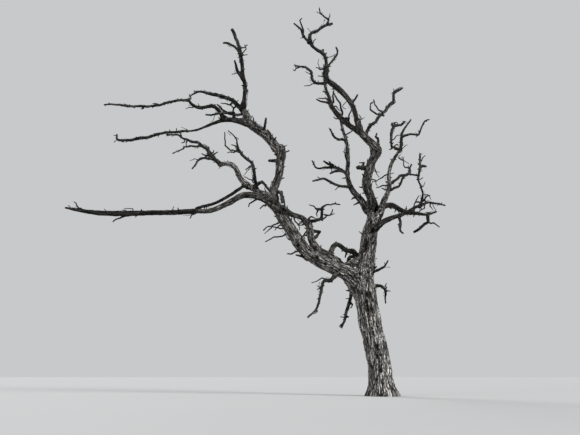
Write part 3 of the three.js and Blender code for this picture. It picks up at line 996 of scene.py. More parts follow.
def wood(name, dark, light, cell, stretch, contrast, shade, gain):
    """Weathered wood between two greys. The pattern is a cell wide and drawn out along the grain."""
    material = bpy.data.materials.new(name)
    material.use_nodes = True
    tree = material.node_tree
    shader = tree.nodes["Principled BSDF"]
    share, hollow, dim, pit = (put(tree, "ShaderNodeAttribute", attribute_name=label).outputs["Fac"]
                               for label in ("share", "hollow", "dim", "pit"))
    grains = [put(tree, "ShaderNodeAttribute", attribute_name=label).outputs["Vector"]
              for label in ("grain", "grain_beside")]
    patterns = [wood_patterns(tree, grain, cell, stretch) for grain in grains]
    streak, seam, hair, blotch, crumb, plate = (mixed(tree, share, *pair) for pair in zip(*patterns))

    base = math_node(tree, "MULTIPLY", streak, STREAK_PART)
    for pattern, part in ((hair, HAIR_PART), (blotch, BLOTCH_PART)):
        base = math_node(tree, "MULTIPLY_ADD", pattern, part, base)
    crumb_part = math_node(tree, "MULTIPLY_ADD", share, 1 - CRUMB_PART, CRUMB_PART)
    spread = level(tree, mixed(tree, crumb_part, base, crumb), 0.5 - contrast, 0.5 + contrast)
    fine = math_node(tree, "MULTIPLY_ADD", level(tree, hair, *HAIR_EDGE), FINE_PART, 1 - FINE_PART)
    plated = math_node(tree, "MULTIPLY_ADD", plate, PLATE_PART, 1 - PLATE_PART)
    light_share = math_node(tree, "MULTIPLY", spread, math_node(tree, "MULTIPLY", fine, plated))
    light_share = math_node(tree, "MULTIPLY", light_share, gain)
    off_seam = math_node(tree, "ABSOLUTE", math_node(tree, "SUBTRACT", seam, 0.5))
    light_share = math_node(tree, "MULTIPLY", light_share, level(tree, off_seam, *SEAM))

    # Painted shade down in the cracks and pits, where the relief lies deepest.
    lit = math_node(tree, "SUBTRACT", 1.0, math_node(tree, "MULTIPLY", hollow, shade), clamp=True)
    # Then each limb's own painted shade, and the painted shade of the pits again.
    for loss in (dim, pit):
        lit = math_node(tree, "MULTIPLY", lit, math_node(tree, "SUBTRACT", 1.0, loss))
    ramp = put(tree, "ShaderNodeValToRGB", {"Fac": math_node(tree, "MULTIPLY", light_share, lit)})
    for element, colour in zip(ramp.color_ramp.elements, (dark, light)):
        element.color = (*colour, 1)
    tree.links.new(ramp.outputs["Color"], shader.inputs["Base Color"])
    shader.inputs["Roughness"].default_value = WOOD_ROUGHNESS
    shader.inputs["Specular IOR Level"].default_value = WOOD_SHINE
    height = math_node(tree, "MULTIPLY_ADD", hair, HAIR_HEIGHT, math_node(tree, "ADD", streak, plate))
    inputs = {"Strength": BUMP_STRENGTH, "Distance": BUMP_SHARE * cell, "Height": height}
    tree.links.new(put(tree, "ShaderNodeBump", inputs).outputs["Normal"], shader.inputs["Normal"])
    return material


# %% The three finishes
# For each finish: the dark and the light grey, and then the cell of its pattern in metres, its stretch,
# its contrast, how much the cracks are shaded, and how much of the wood is light.
TRUNK_BARK = wood("trunk bark", (0.008, 0.0077, 0.0073), (0.65, 0.629, 0.594), 0.021, 0.13, 0.070, 0.9, 2.0)
BOUGH_BARK = wood("bough bark", (0.007, 0.0067, 0.0063), (0.60, 0.58, 0.548), 0.020, 0.13, 0.070, 0.9, 2.0)
DEAD_BRANCH = wood("dead branch", (0.005, 0.0048, 0.0045), (0.50, 0.484, 0.457), 0.030, 0.16, 0.095, 0.8, 1.5)
print("finishes made:", ", ".join(finish.name for finish in (TRUNK_BARK, BOUGH_BARK, DEAD_BRANCH)))

# %% [markdown]
# The relief goes on while the skin is still one, so that a crack runs on from one limb to the next.

# %% Relief on the skin
relief = {"Bark": TRUNK_BARK, "Lumps": 0.26, "Flutes": 0.28, "Cracks": 0.013, "Crack Width": 0.036,
          "Crack Stretch": 8.0, "Crumbs": 0.006}
dress(skin, relief_group(), relief)
skin = baked(skin, "skin")
print("relief pressed into", len(skin.data.polygons), "faces")

# %% [markdown]
# The one skin is now shared out again into four pieces: the trunk, the stem and leader on the right,
# the long bough on the left, and the thicker branches. Each piece is a closed body of its own, so the
# openings where it was cut from its neighbour are filled. The trunk is cut flat at the ground.

# %% Share out the skin
GROUND, UPWARDS = (0, 0, 0), (0, 0, 1)


def grows_on(name, limb):
    """Whether a limb is borne by another one, at whatever remove."""
    while name in BORNE_BY and name != limb:
        name = BORNE_BY[name]
    return name == limb


FINISH = {"trunk_bark": TRUNK_BARK, "bough_bark": BOUGH_BARK, "dead_branch": DEAD_BRANCH}
BOUGHS = {name for name in thick if SLOT_OF[name] == "bough_bark"}
RIGHT_SIDE = {name for name in BOUGHS if grows_on(name, "right_stem")}
PIECES = {"trunk_wood": {"trunk"},
          "leader_wood": RIGHT_SIDE,
          "left_wood": BOUGHS - RIGHT_SIDE,
          "thick_branch_wood": {name for name in thick if SLOT_OF[name] == "dead_branch"}}


def part_of(whole, name, members):
    """A closed piece made of the faces of the skin that belong to some limbs."""
    indices = {i for i, limb in enumerate(thick) if limb in members}
    body = bmesh.new()
    body.from_mesh(whole.data)
    body.verts.ensure_lookup_table()
    others = [face for face in body.faces if owner[min(v.index for v in face.verts)] not in indices]
    bmesh.ops.delete(body, geom=others, context="FACES")
    if "trunk" in members:
        everything = body.verts[:] + body.edges[:] + body.faces[:]
        bmesh.ops.bisect_plane(body, geom=everything, plane_co=GROUND, plane_no=UPWARDS, clear_inner=True)
    rims = [edge for edge in body.edges if edge.is_boundary]
    caps = bmesh.ops.holes_fill(body, edges=rims, sides=0)["faces"]
    for edge in rims:
        edge.smooth = False
    bmesh.ops.triangulate(body, faces=caps)
    piece = bpy.data.objects.new(name, bpy.data.meshes.new(name))
    bpy.context.collection.objects.link(piece)
    body.to_mesh(piece.data)
    body.free()
    print(f"{name:18} {len(piece.data.polygons)} faces")
    return piece


for name, members in PIECES.items():
    piece = part_of(skin, name, members)
    slot = SLOT_OF[min(members)]
    piece.data.materials.clear()
    piece.data.materials.append(FINISH[slot])
    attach(piece, "root")
    for limb in sorted(members):
        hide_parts(limb)
bpy.data.objects.remove(skin)

# %% [markdown]
# Each thinner limb is swept along its own middle line. The line is a chain of edges that knows how
# thick the wood is at each point. Geometry Nodes turn the chain into a curve, sweep a ring along it,
# and roughen the result with noise that runs along the grain. The same tree of nodes makes the twigs.

# %% Crooked lines
KINK = 0.42             # how far a limb strays from its line, in radii
KINK_LENGTHS = (14, 6)  # between two of its crooks, also in radii
KINK_LEAST = 5          # a line of fewer points than this is left as it is


def kinked(points, radii, amount, rng):
    """A middle line with the small crooks of slow growth, and with the same two ends."""
    count = len(points)
    if count < KINK_LEAST:
        return points
    sway = np.zeros((count, 3))
    length = np.linalg.norm(np.diff(points, axis=0), axis=1).sum()
    mean = radii.mean()
    for waves_apart in KINK_LENGTHS:
        knots = max(3, int(length / (waves_apart * mean)) + 2)
        shifts = rng.normal(0, 1, (knots, 3)) * mean * amount
        shifts[0] = shifts[-1] = 0
        at = np.linspace(0, knots - 1, count)
        sway += np.column_stack([np.interp(at, np.arange(knots), shifts[:, k]) for k in range(3)])
    return points + sway


def along_of(points):
    """The length along a line at each of its points."""
    return np.concatenate([[0], np.cumsum(np.linalg.norm(np.diff(points, axis=0), axis=1))])


def chain_of(paths):
    """One mesh of loose chains of edges, which keeps the thickness and the length along each."""
    corners, edges, thickness, along, base = [], [], [], [], 0
    for points, radii, offset in paths:
        corners += [tuple(p) for p in points]
        edges += [(base + i, base + i + 1) for i in range(len(points) - 1)]
        thickness += list(radii)
        along += list(along_of(points) + offset)
        base += len(points)
    mesh = bpy.data.meshes.new("chain")
    mesh.from_pydata(corners, edges, [])
    thing = bpy.data.objects.new("chain", mesh)
    bpy.context.collection.objects.link(thing)
    remember(thing, "thickness", "FLOAT", thickness)
    remember(thing, "along", "FLOAT", along)
    return thing


# %% Sweep nodes
# The size of a pattern, in patterns to a radius, and how far it is drawn out along the grain.
KNOB_SIZE, KNOB_STRETCH = 0.45, 0.7
FURROW_SIZE, FURROW_STRETCH = 1.1, 0.18


def sweep_group():
    """A round ring swept along a chain, with knobs and furrows."""
    sockets = {"Wood": "Material", "Sides": "Int", "Flutes": "Float", "Knobs": "Float", "Painted Shade": "Float"}
    group, given, result = geometry_group("swept branches", sockets)
    curve = put(group, "GeometryNodeMeshToCurve", {"Mesh": given["Geometry"]}).outputs[0]
    thickness = stored(group, "thickness")
    ring = put(group, "GeometryNodeCurvePrimitiveCircle", {"Resolution": given["Sides"], "Radius": 1.0})
    round_share = put(group, "GeometryNodeSplineParameter").outputs["Factor"]
    turned = with_stored(group, ring.outputs["Curve"], "turn", round_share)
    ahead = put(group, "GeometryNodeInputTangent").outputs[0]
    led = with_stored(group, curve, "forward", ahead, "FLOAT_VECTOR")
    inputs = {"Curve": led, "Profile Curve": turned, "Scale": thickness, "Fill Caps": True}
    swept = put(group, "GeometryNodeCurveToMesh", inputs).outputs[0]

    angle = math_node(group, "MULTIPLY", stored(group, "turn"), 2 * math.pi)
    x, y = (math_node(group, "MULTIPLY", math_node(group, kind, angle), thickness)
            for kind in ("COSINE", "SINE"))
    grain = put(group, "ShaderNodeCombineXYZ", {"X": x, "Y": y, "Z": stored(group, "along")}).outputs[0]
    pushes = []
    patterns = (("Knobs", KNOB_SIZE, KNOB_STRETCH), ("Flutes", FURROW_SIZE, FURROW_STRETCH))
    for label, size, length in patterns:
        scale = math_node(group, "DIVIDE", size, thickness)
        pattern = noise(group, stretched(group, grain, length), scale, 2.0)
        height = math_node(group, "SUBTRACT", pattern, 0.5)
        pushes.append(math_node(group, "MULTIPLY", height, given[label]))
    push = math_node(group, "MULTIPLY", math_node(group, "ADD", *pushes), thickness)
    rough = moved(group, swept, scaled_by(group, put(group, "GeometryNodeInputNormal").outputs[0], push))
    kept = with_stored(group, rough, "grain", grain, "FLOAT_VECTOR")
    # Painted shade, the same over the whole piece.
    toned = with_stored(group, kept, "dim", given["Painted Shade"])
    finished(group, shaded_smooth(group, toned), given["Wood"], result)
    return group


# %% Swept branches
# The rings of a rounded end: how far beyond the line, and how wide, against its last radius.
END_RISES = (0.35, 0.6, 0.75)
END_WIDTHS = (0.9, 0.62, 0.2)
BRANCH_SEED = 11
BARK_SWELL = 1.16
COLLAR_SWELL = 1.6
BRANCH_OFFSET = 1.9  # between the grain of one limb and that of the next


def blunt(points, radii):
    """Adds the rounded end of a dead branch to a line."""
    way = points[-1] - points[-2]
    way = way / np.linalg.norm(way) * radii[-1]
    ends = [points[-1] + way * rise for rise in END_RISES]
    return np.vstack([points, ends]), np.concatenate([radii, radii[-1] * np.array(END_WIDTHS)])


SWEEP = sweep_group()


def swept_wood(name, paths, sides, flutes, knobs):
    """One piece swept along many lines, each given with its radii and where its grain starts."""
    chain = chain_of([(*blunt(points, radii), offset) for points, radii, offset in paths])
    sizes = {"Sides": sides, "Flutes": flutes, "Knobs": knobs}
    dress(chain, SWEEP, {**sizes, "Wood": DEAD_BRANCH, "Painted Shade": THIN_PAINTED_SHADE})
    piece = baked(chain, name)
    print(f"{name:18} {len(piece.data.polygons)} faces")
    return piece


thin = [name for name in lines if name not in thick]
branch_paths = []
for index, name in enumerate(thin):
    line = lines[name]
    line.points = kinked(line.points, line.radii, KINK, np.random.default_rng((BRANCH_SEED, index)))
    radii = line.radii * (1 + line.collar * COLLAR_SWELL) * BARK_SWELL
    branch_paths.append((line.points, radii, index * BRANCH_OFFSET))
branches = swept_wood("branch_wood", branch_paths, sides=12, flutes=0.6, knobs=0.9)
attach(branches, "root")
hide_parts(*thin)

# %% [markdown]
# The twigs that the photograph shows are placed one by one. A row gives the thickness of a twig and
# its bends in centimetres, as seen against the upright plane through the foot of the tree. The twig
# starts on the limb that is seen there, and leans towards the camera or away from it by a seeded rule.
# Each row has a seed of its own, so that a change of one twig leaves the others as they are.

# %% Twigs seen in the photograph
SEEN_TWIGS = """
3 -146,788 -143,800 -146,813 -152,827 -148,833
2.6 -87,824 -86,832 -83,845
2.5 -105,845 -114,850
4 -98,813 -95,829
2.5 -127,795 -135,806
2.5 -124,765 -122,772 -116,779
3.5 -99,748 -104,750
3.5 -96,741 -93,743
3.5 -97,727 -100,728
1.5 -94,727 -85,732 -75,737 -70,740
3 -96,700 -107,701 -112,705 -117,705
1.5 -110,705 -113,715 -111,727
3 -96,683 -103,683 -113,684
4 -95,668 -100,668
4 -85,616 -95,618 -106,622 -117,626
3 -85,622 -95,626 -105,628 -113,629
4 -80,618 -80,635 -78,648
3.5 -62,588 -62,599 -64,612 -69,624 -76,635 -80,645
2.5 -75,610 -70,603 -63,597
3 -70,580 -73,580 -80,583
4 -49,575 -46,585 -40,600
4 -50,580 -55,582
1.7 -44,625 -48,622 -59,611 -57,605 -52,603
2.5 -163,708 -165,714
2.5 -155,705 -163,701 -166,697 -169,700
2 -130,687 -137,693 -141,695
2.5 -120,665 -130,662 -144,659
3 -72,421 -80,415
3 -109,438 -117,444
6 -85,470 -94,473 -103,480
4 -88,473 -92,479
5.5 -52,452 -62,454 -70,455 -80,455 -90,452
3 -87,467 -86,455
3 -54,541 -46,547 -38,552
3 -54,500 -61,502
3 -52,507 -46,508
3 -58,442 -65,441
4 -40,395 -46,394
4 -35,386 -42,382
4 -20,476 -27,476
5 13,508 15,520 13,530 13,544
3.5 -22,422 -29,422
3.5 -17,409 -23,408
4 -2,392 6,392
2.5 54,633 55,652
3.4 30,586 24,589 15,590 8,594 2,600 0,608 2,616 9,620
3.2 34,596 27,599 20,602 15,609 12,616 9,625
3 36,602 37,609
5.5 -40,612 -36,618 -31,628 -26,637
2.5 -24,562 -22,568 -20,578 -24,589
2 -20,578 -12,582
2.5 48,512 52,516 57,518 59,514
3 45,510 38,507
2 44,527 48,530 53,536 60,540 66,539
4 47,555 49,557 45,565
3 46,568 52,569
3 52,570 58,571
2 63,505 68,510 78,518
3 44,478 40,485
3 36,452 45,453
3 35,443 41,442
2.5 33,450 22,447 15,441 8,435 0,433
2.2 3,476 5,465 8,457 10,450 14,443
2 9,455 15,455
2 8,435 7,428 10,423
3 33,424 22,424 15,422 7,420
3 32,410 22,417 18,419
2.5 77,457 79,463 70,464 67,470 67,482 65,489
2 67,482 69,490
3 52,369 52,360
3.5 84,371 85,363 82,356
2.5 107,392 105,380 103,373 95,367 88,367
3 67,372 68,379
7 101,462 108,465 115,468
2.5 104,478 109,486 115,493
2.5 94,438 100,440 107,443
2.5 104,423 110,431
3 97,381 105,394 112,400 119,403
3 85,377 88,388 90,394
3 89,392 95,402
2 117,403 121,394
2.5 118,380 122,372
2.5 124,384 130,367
3 110,350 112,343 118,342 122,344 128,338 134,334
2.4 14,249 27,250
3 19,203 26,201
2.5 18,207 14,212 19,217
2.5 -106,225 -112,227 -120,222 -132,218
3 -109,214 -110,212 -115,208 -121,204
2.5 -112,209 -121,212
3 -122,162 -127,156
2.5 -74,135 -78,130
2.5 -70,135 -73,127
3 -57,203 -63,203
3 -56,186 -63,186
3 -60,150 -65,150 -75,150
3.5 -52,175 -53,168
7 -33,271 -40,270 -50,268 -56,263 -56,256
4 -60,284 -62,277 -63,270
3 -88,276 -85,272 -77,268 -72,262 -60,256 -55,254
2.6 -168,352 -163,345 -160,340 -157,335 -156,328
2.4 -159,339 -152,338 -143,343
3.2 -142,324 -148,316 -151,314
2.4 -148,316 -146,315 -144,308
8 -134,318 -127,320 -121,322 -113,324
7 -128,309 -125,314 -120,319 -114,323
3.5 -136,352 -131,356 -125,354
3 -108,348 -106,351 -100,356 -95,357 -83,363
2.5 -92,360 -88,370 -86,373
3.4 -106,373 -118,373 -122,375 -125,379 -135,382
3 -120,374 -117,368 -121,363 -119,357
4 -150,286 -165,282 -180,278
5 -138,264 -150,269 -163,275
3 -180,322 -184,320 -192,315 -202,313 -214,311 -226,303
3 -182,330 -190,332 -200,332 -217,337 -230,327
2.5 -213,335 -220,327 -228,320
2.5 -203,333 -207,327
3.5 -216,386 -230,380 -238,374
3.5 -242,397 -250,392 -257,385 -262,378
6.5 -231,546 -236,552 -231,564 -228,580
9 -198,480 -208,479 -220,481
4 -210,512 -216,508
4 -197,497 -208,494
4 -186,502 -177,504
4 -196,442 -188,442
4 -207,433 -215,433
4 -254,572 -256,582
6.5 -250,421 -252,425 -245,431 -236,431 -227,425 -219,414
3.5 -376,368 -378,362 -383,353
3 -420,368 -419,378
2 -503,364 -503,373 -522,374
4 -510,360 -517,358 -525,353 -543,346
2.5 -555,362 -564,373
3 -612,373 -618,376 -622,382 -628,388
3 -636,376 -640,381
4 -585,366 -587,371
4 -485,367 -486,372
3 -323,470 -327,464
4.5 -340,486 -355,486 -366,484 -373,478 -378,469 -384,463
1.7 -366,483 -380,485 -390,481
3.5 -348,495 -365,497
3.5 -344,499 -340,505
3.5 -337,497 -331,501
3 -399,525 -399,515
3 -403,532 -405,524 -410,522
3 -411,540 -412,535 -413,543 -425,548
3 -284,500 -301,504 -312,515 -317,530 -318,547
2.8 -297,502 -310,499
3 -287,505 -290,510 -297,517 -302,518
3 -257,470 -265,465 -270,461
1.7 -260,466 -262,463 -268,455 -275,447
2.5 -250,432 -252,430 -258,438 -265,442 -273,445
3 -547,530 -556,524
3 -550,538 -558,540
1.5 -400,553 -413,559
3.5 -422,548 -423,556
3.5 -436,546 -437,553
4 -397,628 -399,638
2.2 -388,608 -398,606 -405,603
4 -341,607 -341,614
4 -332,602 -335,597
4 -501,609 -503,603
3 -452,614 -470,615 -478,616
4.5 -280,592 -300,590 -312,592 -325,603 -336,613
4.4 -299,591 -325,590 -345,590 -360,589
3 -385,641 -388,648
3 -393,637 -396,631
3.5 -297,590 -300,600 -303,608 -307,616
3 -306,614 -315,617 -328,617
3 -300,604 -295,608
2.5 -284,738 -283,742 -279,750 -277,760 -272,763
2.2 -277,758 -279,764
2.5 -284,735 -280,737 -272,738
2.5 -290,690 -297,691 -306,688
3.5 -287,730 -293,731
3.5 -288,718 -283,718
3.5 -278,668 -272,668
3.5 -276,660 -283,660
2.5 -87,273 -80,269 -72,263 -66,258
"""

# %% Sweep the seen twigs
SEEN_LEAN = (0.25, 0.9)  # how far a twig leans, against its length
TWIG_SEED = 23
TWIG_KINK = 0.55
TWIG_STEP = 0.012
TWIG_EASE = 0.45         # how round its bends are, from sharp at 0
TWIG_OFFSET = 0.7
# A twig is this wide at its foot, and at its tip as its length says, against the thickness of its row.
TWIG_FOOT = 1.5
TWIG_LENGTHS, TWIG_TIPS = (0, 0.10, 0.6), (0.5, 0.6, 0.8)
# How far the foot of a twig lies towards the middle line of its limb, and when that is left out.
FOOT_SHARE = 0.7
FOOT_LEAST = 0.006


def in_depth(seen, depth):
    """The place at some depth behind the plane that is seen at a point of it."""
    return PLANE_EYE + (seen - PLANE_EYE) * (1 + depth / EYE_AWAY)[:, None]


all_points = np.concatenate([line.points for line in lines.values()])
all_seen = as_seen(all_points)
all_radii = np.concatenate([line.radii for line in lines.values()])
seen_tree = KDTree(len(all_seen))
for i, place in enumerate(all_seen):
    seen_tree.insert((place[0], 0, place[2]), i)
seen_tree.balance()


def seen_twig(row, rng):
    """A twig of the photograph as a line in space with its radii."""
    width, *bends = row.split()
    seen = np.array([[float(v) / 100 for v in bend.split(",")] for bend in bends])
    seen = np.column_stack([seen[:, 0], np.zeros(len(seen)), seen[:, 1]])
    _, root, _ = seen_tree.find((seen[0, 0], 0, seen[0, 2]))
    lengths = along_of(seen)
    lean = rng.uniform(*SEEN_LEAN) * rng.choice([-1, 1])
    depth = all_points[root, 1] + lean * lengths
    points = in_depth(seen, depth)
    foot = all_points[root] * FOOT_SHARE + points[0] * (1 - FOOT_SHARE)
    if np.linalg.norm(foot - points[0]) > FOOT_LEAST:
        points = np.vstack([foot, points])
    tip = np.interp(lengths[-1], TWIG_LENGTHS, TWIG_TIPS)
    radii = float(width) / 200 * np.linspace(TWIG_FOOT, tip, len(points)) * (1 + depth[0] / EYE_AWAY)
    return points, radii


twig_paths = []
for index, row in enumerate(SEEN_TWIGS.split("\n")[1:-1]):
    rng = np.random.default_rng((TWIG_SEED, index))
    points, radii = seen_twig(row, rng)
    line = Line(points, radii, TWIG_STEP, TWIG_EASE)
    twig_paths.append((kinked(line.points, line.radii, TWIG_KINK, rng), line.radii, index * TWIG_OFFSET))
print(len(twig_paths), "twigs placed from the photograph")
twigs = swept_wood("twig_wood", twig_paths, sides=8, flutes=0.4, knobs=0.7)
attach(twigs, "root")

# %% [markdown]
# Along the sight line a photograph shows nothing, yet a tree branches on every side. Side branches
# that run nearly along the sight line fill the crown as seen from the flanks, and from the front
# each of them hides behind its own foot. They grow by a rule: a seeded walk that bends a little at
# each step and turns up towards the light, and that bears smaller walks of its own.

# %% Walks beside a limb
DEPTH_ROOM = (-1.72, 1.82)  # from the nearest to the farthest place that a side branch may reach
TINY = 1e-6
# A walk: how much of the last drift is kept, how far it turns the way, and how thick the tip is.
DRIFT_KEPT, DRIFT_TURN, WALK_TIP = 0.6, 0.35, 0.42
STEP_LENGTH, SHORT_STEP = 0.03, 0.02


def walk(start, way, length, radius, bend, lift, rng, step=STEP_LENGTH):
    """A crooked twig grown from a start: points and radii."""
    points, heading = [start], way / np.linalg.norm(way)
    count = max(LEAST_POINTS, round(length / step))
    drift = rng.normal(0, 1, 3)
    for _ in range(count):
        drift = DRIFT_KEPT * drift + rng.normal(0, 1, 3)
        heading = heading + bend * drift * DRIFT_TURN + np.array([0, 0, lift])
        heading /= np.linalg.norm(heading)
        points.append(points[-1] + heading * length / count)
    radii = radius * np.linspace(1, WALK_TIP, count + 1)
    return np.array(points), radii


def sight(place):
    """The direction from the eye to a place."""
    away = place - PLANE_EYE
    return away / np.linalg.norm(away)


LEAP = 0.05  # a step seen longer than this is a leap to another limb, and ends the line


def tucked(points, radii, limit):
    """Draws a line in, so that it is seen to stray from the nearest limb by no more than a limit."""
    seen = as_seen(points)
    for i, place in enumerate(seen):
        _, nearest, gap = seen_tree.find((place[0], 0, place[2]))
        reach = limit + all_radii[nearest]
        off = place - all_seen[nearest]
        seen[i] = all_seen[nearest] + off * reach * math.tanh(gap / reach) / max(gap, TINY)
        seen[i, 1] = 0
        if i > 2 and np.linalg.norm(seen[i] - seen[i - 1]) > LEAP:
            seen = seen[:i]
            break
    kept = len(seen)
    sharper = (len(radii) - 1) / max(kept - 1, 1)
    return in_depth(seen, points[:kept, 1]), radii[0] + (radii[:kept] - radii[0]) * sharper


def run_of(points, i):
    """The direction in which a line is seen to run at one of its points."""
    first, last = as_seen(points[[max(i - 2, 0), min(i + 2, len(points) - 1)]])
    run = last - first
    return run / max(np.linalg.norm(run), TINY)


# %% Side branches
SIDE_BEARERS = """leader_lower leader_upper top_limb inner_limb inner_stem right_riser right_upper left_riser
left_riser_upper high_arm long_arm steep_arm left_bough ladder_top crest_arm upright long_arm_end
steep_arm_end top_spire right_arm_high back_arm high_arm_end""".split()
SIDE_SEED = 31
SIDE_STRAY = 0.02
SIDE_LONG = (1.2, 2.0)       # a limb longer than the first of these bears two, and three beyond the second
SIDE_SPREAD = (0.3, 0.85)    # where on a limb they stand
SIDE_LENGTH = (0.45, 1.2)
SIDE_LEVEL = 0.45            # how long they are on a level limb, against those on an upright one
SIDE_LEAST = 0.2
SIDE_GIRTH = 0.5             # the most that its radius can be, against that of its limb
SIDE_THICK = (0.009, 0.011)  # its radius at no length, and what each metre adds to that
SIDE_SLANT = (-0.5, 0.7)
SIDE_SHIFT = 0.1
SIDE_BEND, SIDE_LIFT = 0.16, 0.008
SHOOTS = (2, 5)              # at least the first of these, and fewer than the second
SHOOT_PLACE = (0.3, 0.9)
SHOOT_AHEAD, SHOOT_ASIDE = 0.6, (0.5, 1.0)
SHOOT_LENGTH = (0.2, 0.45)
SHOOT_GIRTH = 0.65
SHOOT_BEND, SHOOT_LIFT = 0.2, 0.01


def side_length(start, way, run, rng):
    """A random length that stays within the depth of the tree, longer on an upright limb."""
    room = (DEPTH_ROOM[1] - start[1]) if way[1] > 0 else (start[1] - DEPTH_ROOM[0])
    return min(rng.uniform(*SIDE_LENGTH) * (SIDE_LEVEL + (1 - SIDE_LEVEL) * abs(run[2])), room)


side_rng = np.random.default_rng(SIDE_SEED)
side_paths = []
for name in SIDE_BEARERS:
    line = lines[name]
    count = 1 + sum(int(line.along[-1] > length) for length in SIDE_LONG)
    for part in np.linspace(*SIDE_SPREAD, count) + side_rng.uniform(-SIDE_SHIFT, SIDE_SHIFT, count):
        i = int(part * (len(line.points) - 1))
        start = line.points[i]
        run = run_of(line.points, i)
        way = sight(start) * side_rng.choice([-1, 1])
        length = side_length(start, way, run, side_rng)
        if length < SIDE_LEAST:
            continue
        radius = min(SIDE_GIRTH * line.radii[i], SIDE_THICK[0] + SIDE_THICK[1] * length)
        slant = way + run * side_rng.uniform(*SIDE_SLANT)
        side = walk(start, slant, length, radius, SIDE_BEND, SIDE_LIFT, side_rng)
        points, radii = tucked(*side, SIDE_STRAY)
        side_paths.append((points, radii))
        for _ in range(side_rng.integers(*SHOOTS)):
            j = int(side_rng.uniform(*SHOOT_PLACE) * (len(points) - 1))
            out = way * SHOOT_AHEAD + run * side_rng.choice([-1, 1]) * side_rng.uniform(*SHOOT_ASIDE)
            shoot = walk(points[j], out, length * side_rng.uniform(*SHOOT_LENGTH), radii[j] * SHOOT_GIRTH,
                         SHOOT_BEND, SHOOT_LIFT, side_rng)
            side_paths.append(tucked(*shoot, SIDE_STRAY))
print(len(side_paths), "side branches and their shoots")

# %% [markdown]
# The thin limbs, the twigs and the side branches all bear sprigs, a few of them forked. Like the side
# branches they point nearly along the sight line, and are drawn in until they hardly show from the
# front. The same two functions make them, with shorter steps and sharper bends.

# %% Sprigs
SPRIG_STRAY = 0.035
SPRIG_FIRST = (0.1, 0.3)  # from the foot of a limb to its first sprig
SPRIG_APART = 0.28
SPRIG_LENGTH = (0.06, 0.26)
SPRIG_FORKED = 0.14       # a longer sprig than this bears a shoot
SPRIG_SHIFT = 0.08
SPRIG_ASIDE, SPRIG_AHEAD = 0.3, 0.3
SPRIG_GIRTH = 0.65
SPRIG_THICK = (0.0045, 0.012)
SPRIG_BEND, FORK_BEND, SPRIG_LIFT = 0.28, 0.3, 0.01
FORK_LENGTH, FORK_GIRTH, FORK_ASIDE = 0.45, 0.75, 0.6

sprig_paths = []
thin_limbs = [(lines[name].points, lines[name].radii) for name in thin]
for points, radii in thin_limbs + [path[:2] for path in twig_paths] + side_paths:
    lengths = along_of(points)
    for place in np.arange(side_rng.uniform(*SPRIG_FIRST), lengths[-1], SPRIG_APART):
        i = int(np.searchsorted(lengths, place + side_rng.uniform(-SPRIG_SHIFT, SPRIG_SHIFT)))
        i = min(max(i, 1), len(points) - 2)
        ahead = points[i + 1] - points[i - 1]
        ahead /= np.linalg.norm(ahead)
        out = sight(points[i]) * side_rng.choice([-1, 1])
        out = out + side_rng.normal(0, SPRIG_ASIDE, 3) + ahead * SPRIG_AHEAD
        length = side_rng.uniform(*SPRIG_LENGTH)
        if not DEPTH_ROOM[0] + length < points[i, 1] < DEPTH_ROOM[1] - length:
            continue
        radius = min(SPRIG_GIRTH * radii[i], SPRIG_THICK[0] + SPRIG_THICK[1] * length)
        sprig = walk(points[i], out, length, radius, SPRIG_BEND, SPRIG_LIFT, side_rng, SHORT_STEP)
        sprig, sprig_radii = tucked(*sprig, SPRIG_STRAY)
        sprig_paths.append((sprig, sprig_radii))
        if length > SPRIG_FORKED:
            j = len(sprig) // 2
            turn = out + run_of(points, i) * side_rng.normal(0, FORK_ASIDE)
            length, radius = length * FORK_LENGTH, sprig_radii[j] * FORK_GIRTH
            fork = walk(sprig[j], turn, length, radius, FORK_BEND, SPRIG_LIFT, side_rng, SHORT_STEP)
            sprig_paths.append(tucked(*fork, SPRIG_STRAY))
print(len(sprig_paths), "sprigs")

# %% Sweep the side branches and sprigs
SIDE_OFFSET, SPRIG_OFFSET = 0.31, 0.17

side_paths = [(*path, SIDE_OFFSET * i) for i, path in enumerate(side_paths)]
side_branches = swept_wood("side_branch_wood", side_paths, sides=8, flutes=0.5, knobs=0.8)
sprig_paths = [(*path, SPRIG_OFFSET * i) for i, path in enumerate(sprig_paths)]
sprigs = swept_wood("sprig_wood", sprig_paths, sides=5, flutes=0.3, knobs=0.6)
for piece in (side_branches, sprigs):
    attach(piece, "root")

# %% [markdown]
# Every limb of a dead pine bristles with the stumps of lost twigs. They are one small peg, strewn by
# Geometry Nodes over the skins of the wood: a point on the skin, a peg set on it that leans forward
# along the grain, each turned, stretched and thinned by a seeded random value.

# %% Stump nodes
PEG = {"Vertices": 6, "Side Segments": 3, "Radius Top": 0.45, "Radius Bottom": 1.25, "Depth": 1.2}
PEG_SUNK = -0.2      # how far a peg stands in its limb, against its length
PEG_LEAN = 0.55      # how far it leans forward along the grain
PEG_STRAY = 0.5      # and any other way
LENGTH_SEED, WIDTH_SEED = 3, 5
SWAY_SIZE = 30.0     # bends to a metre


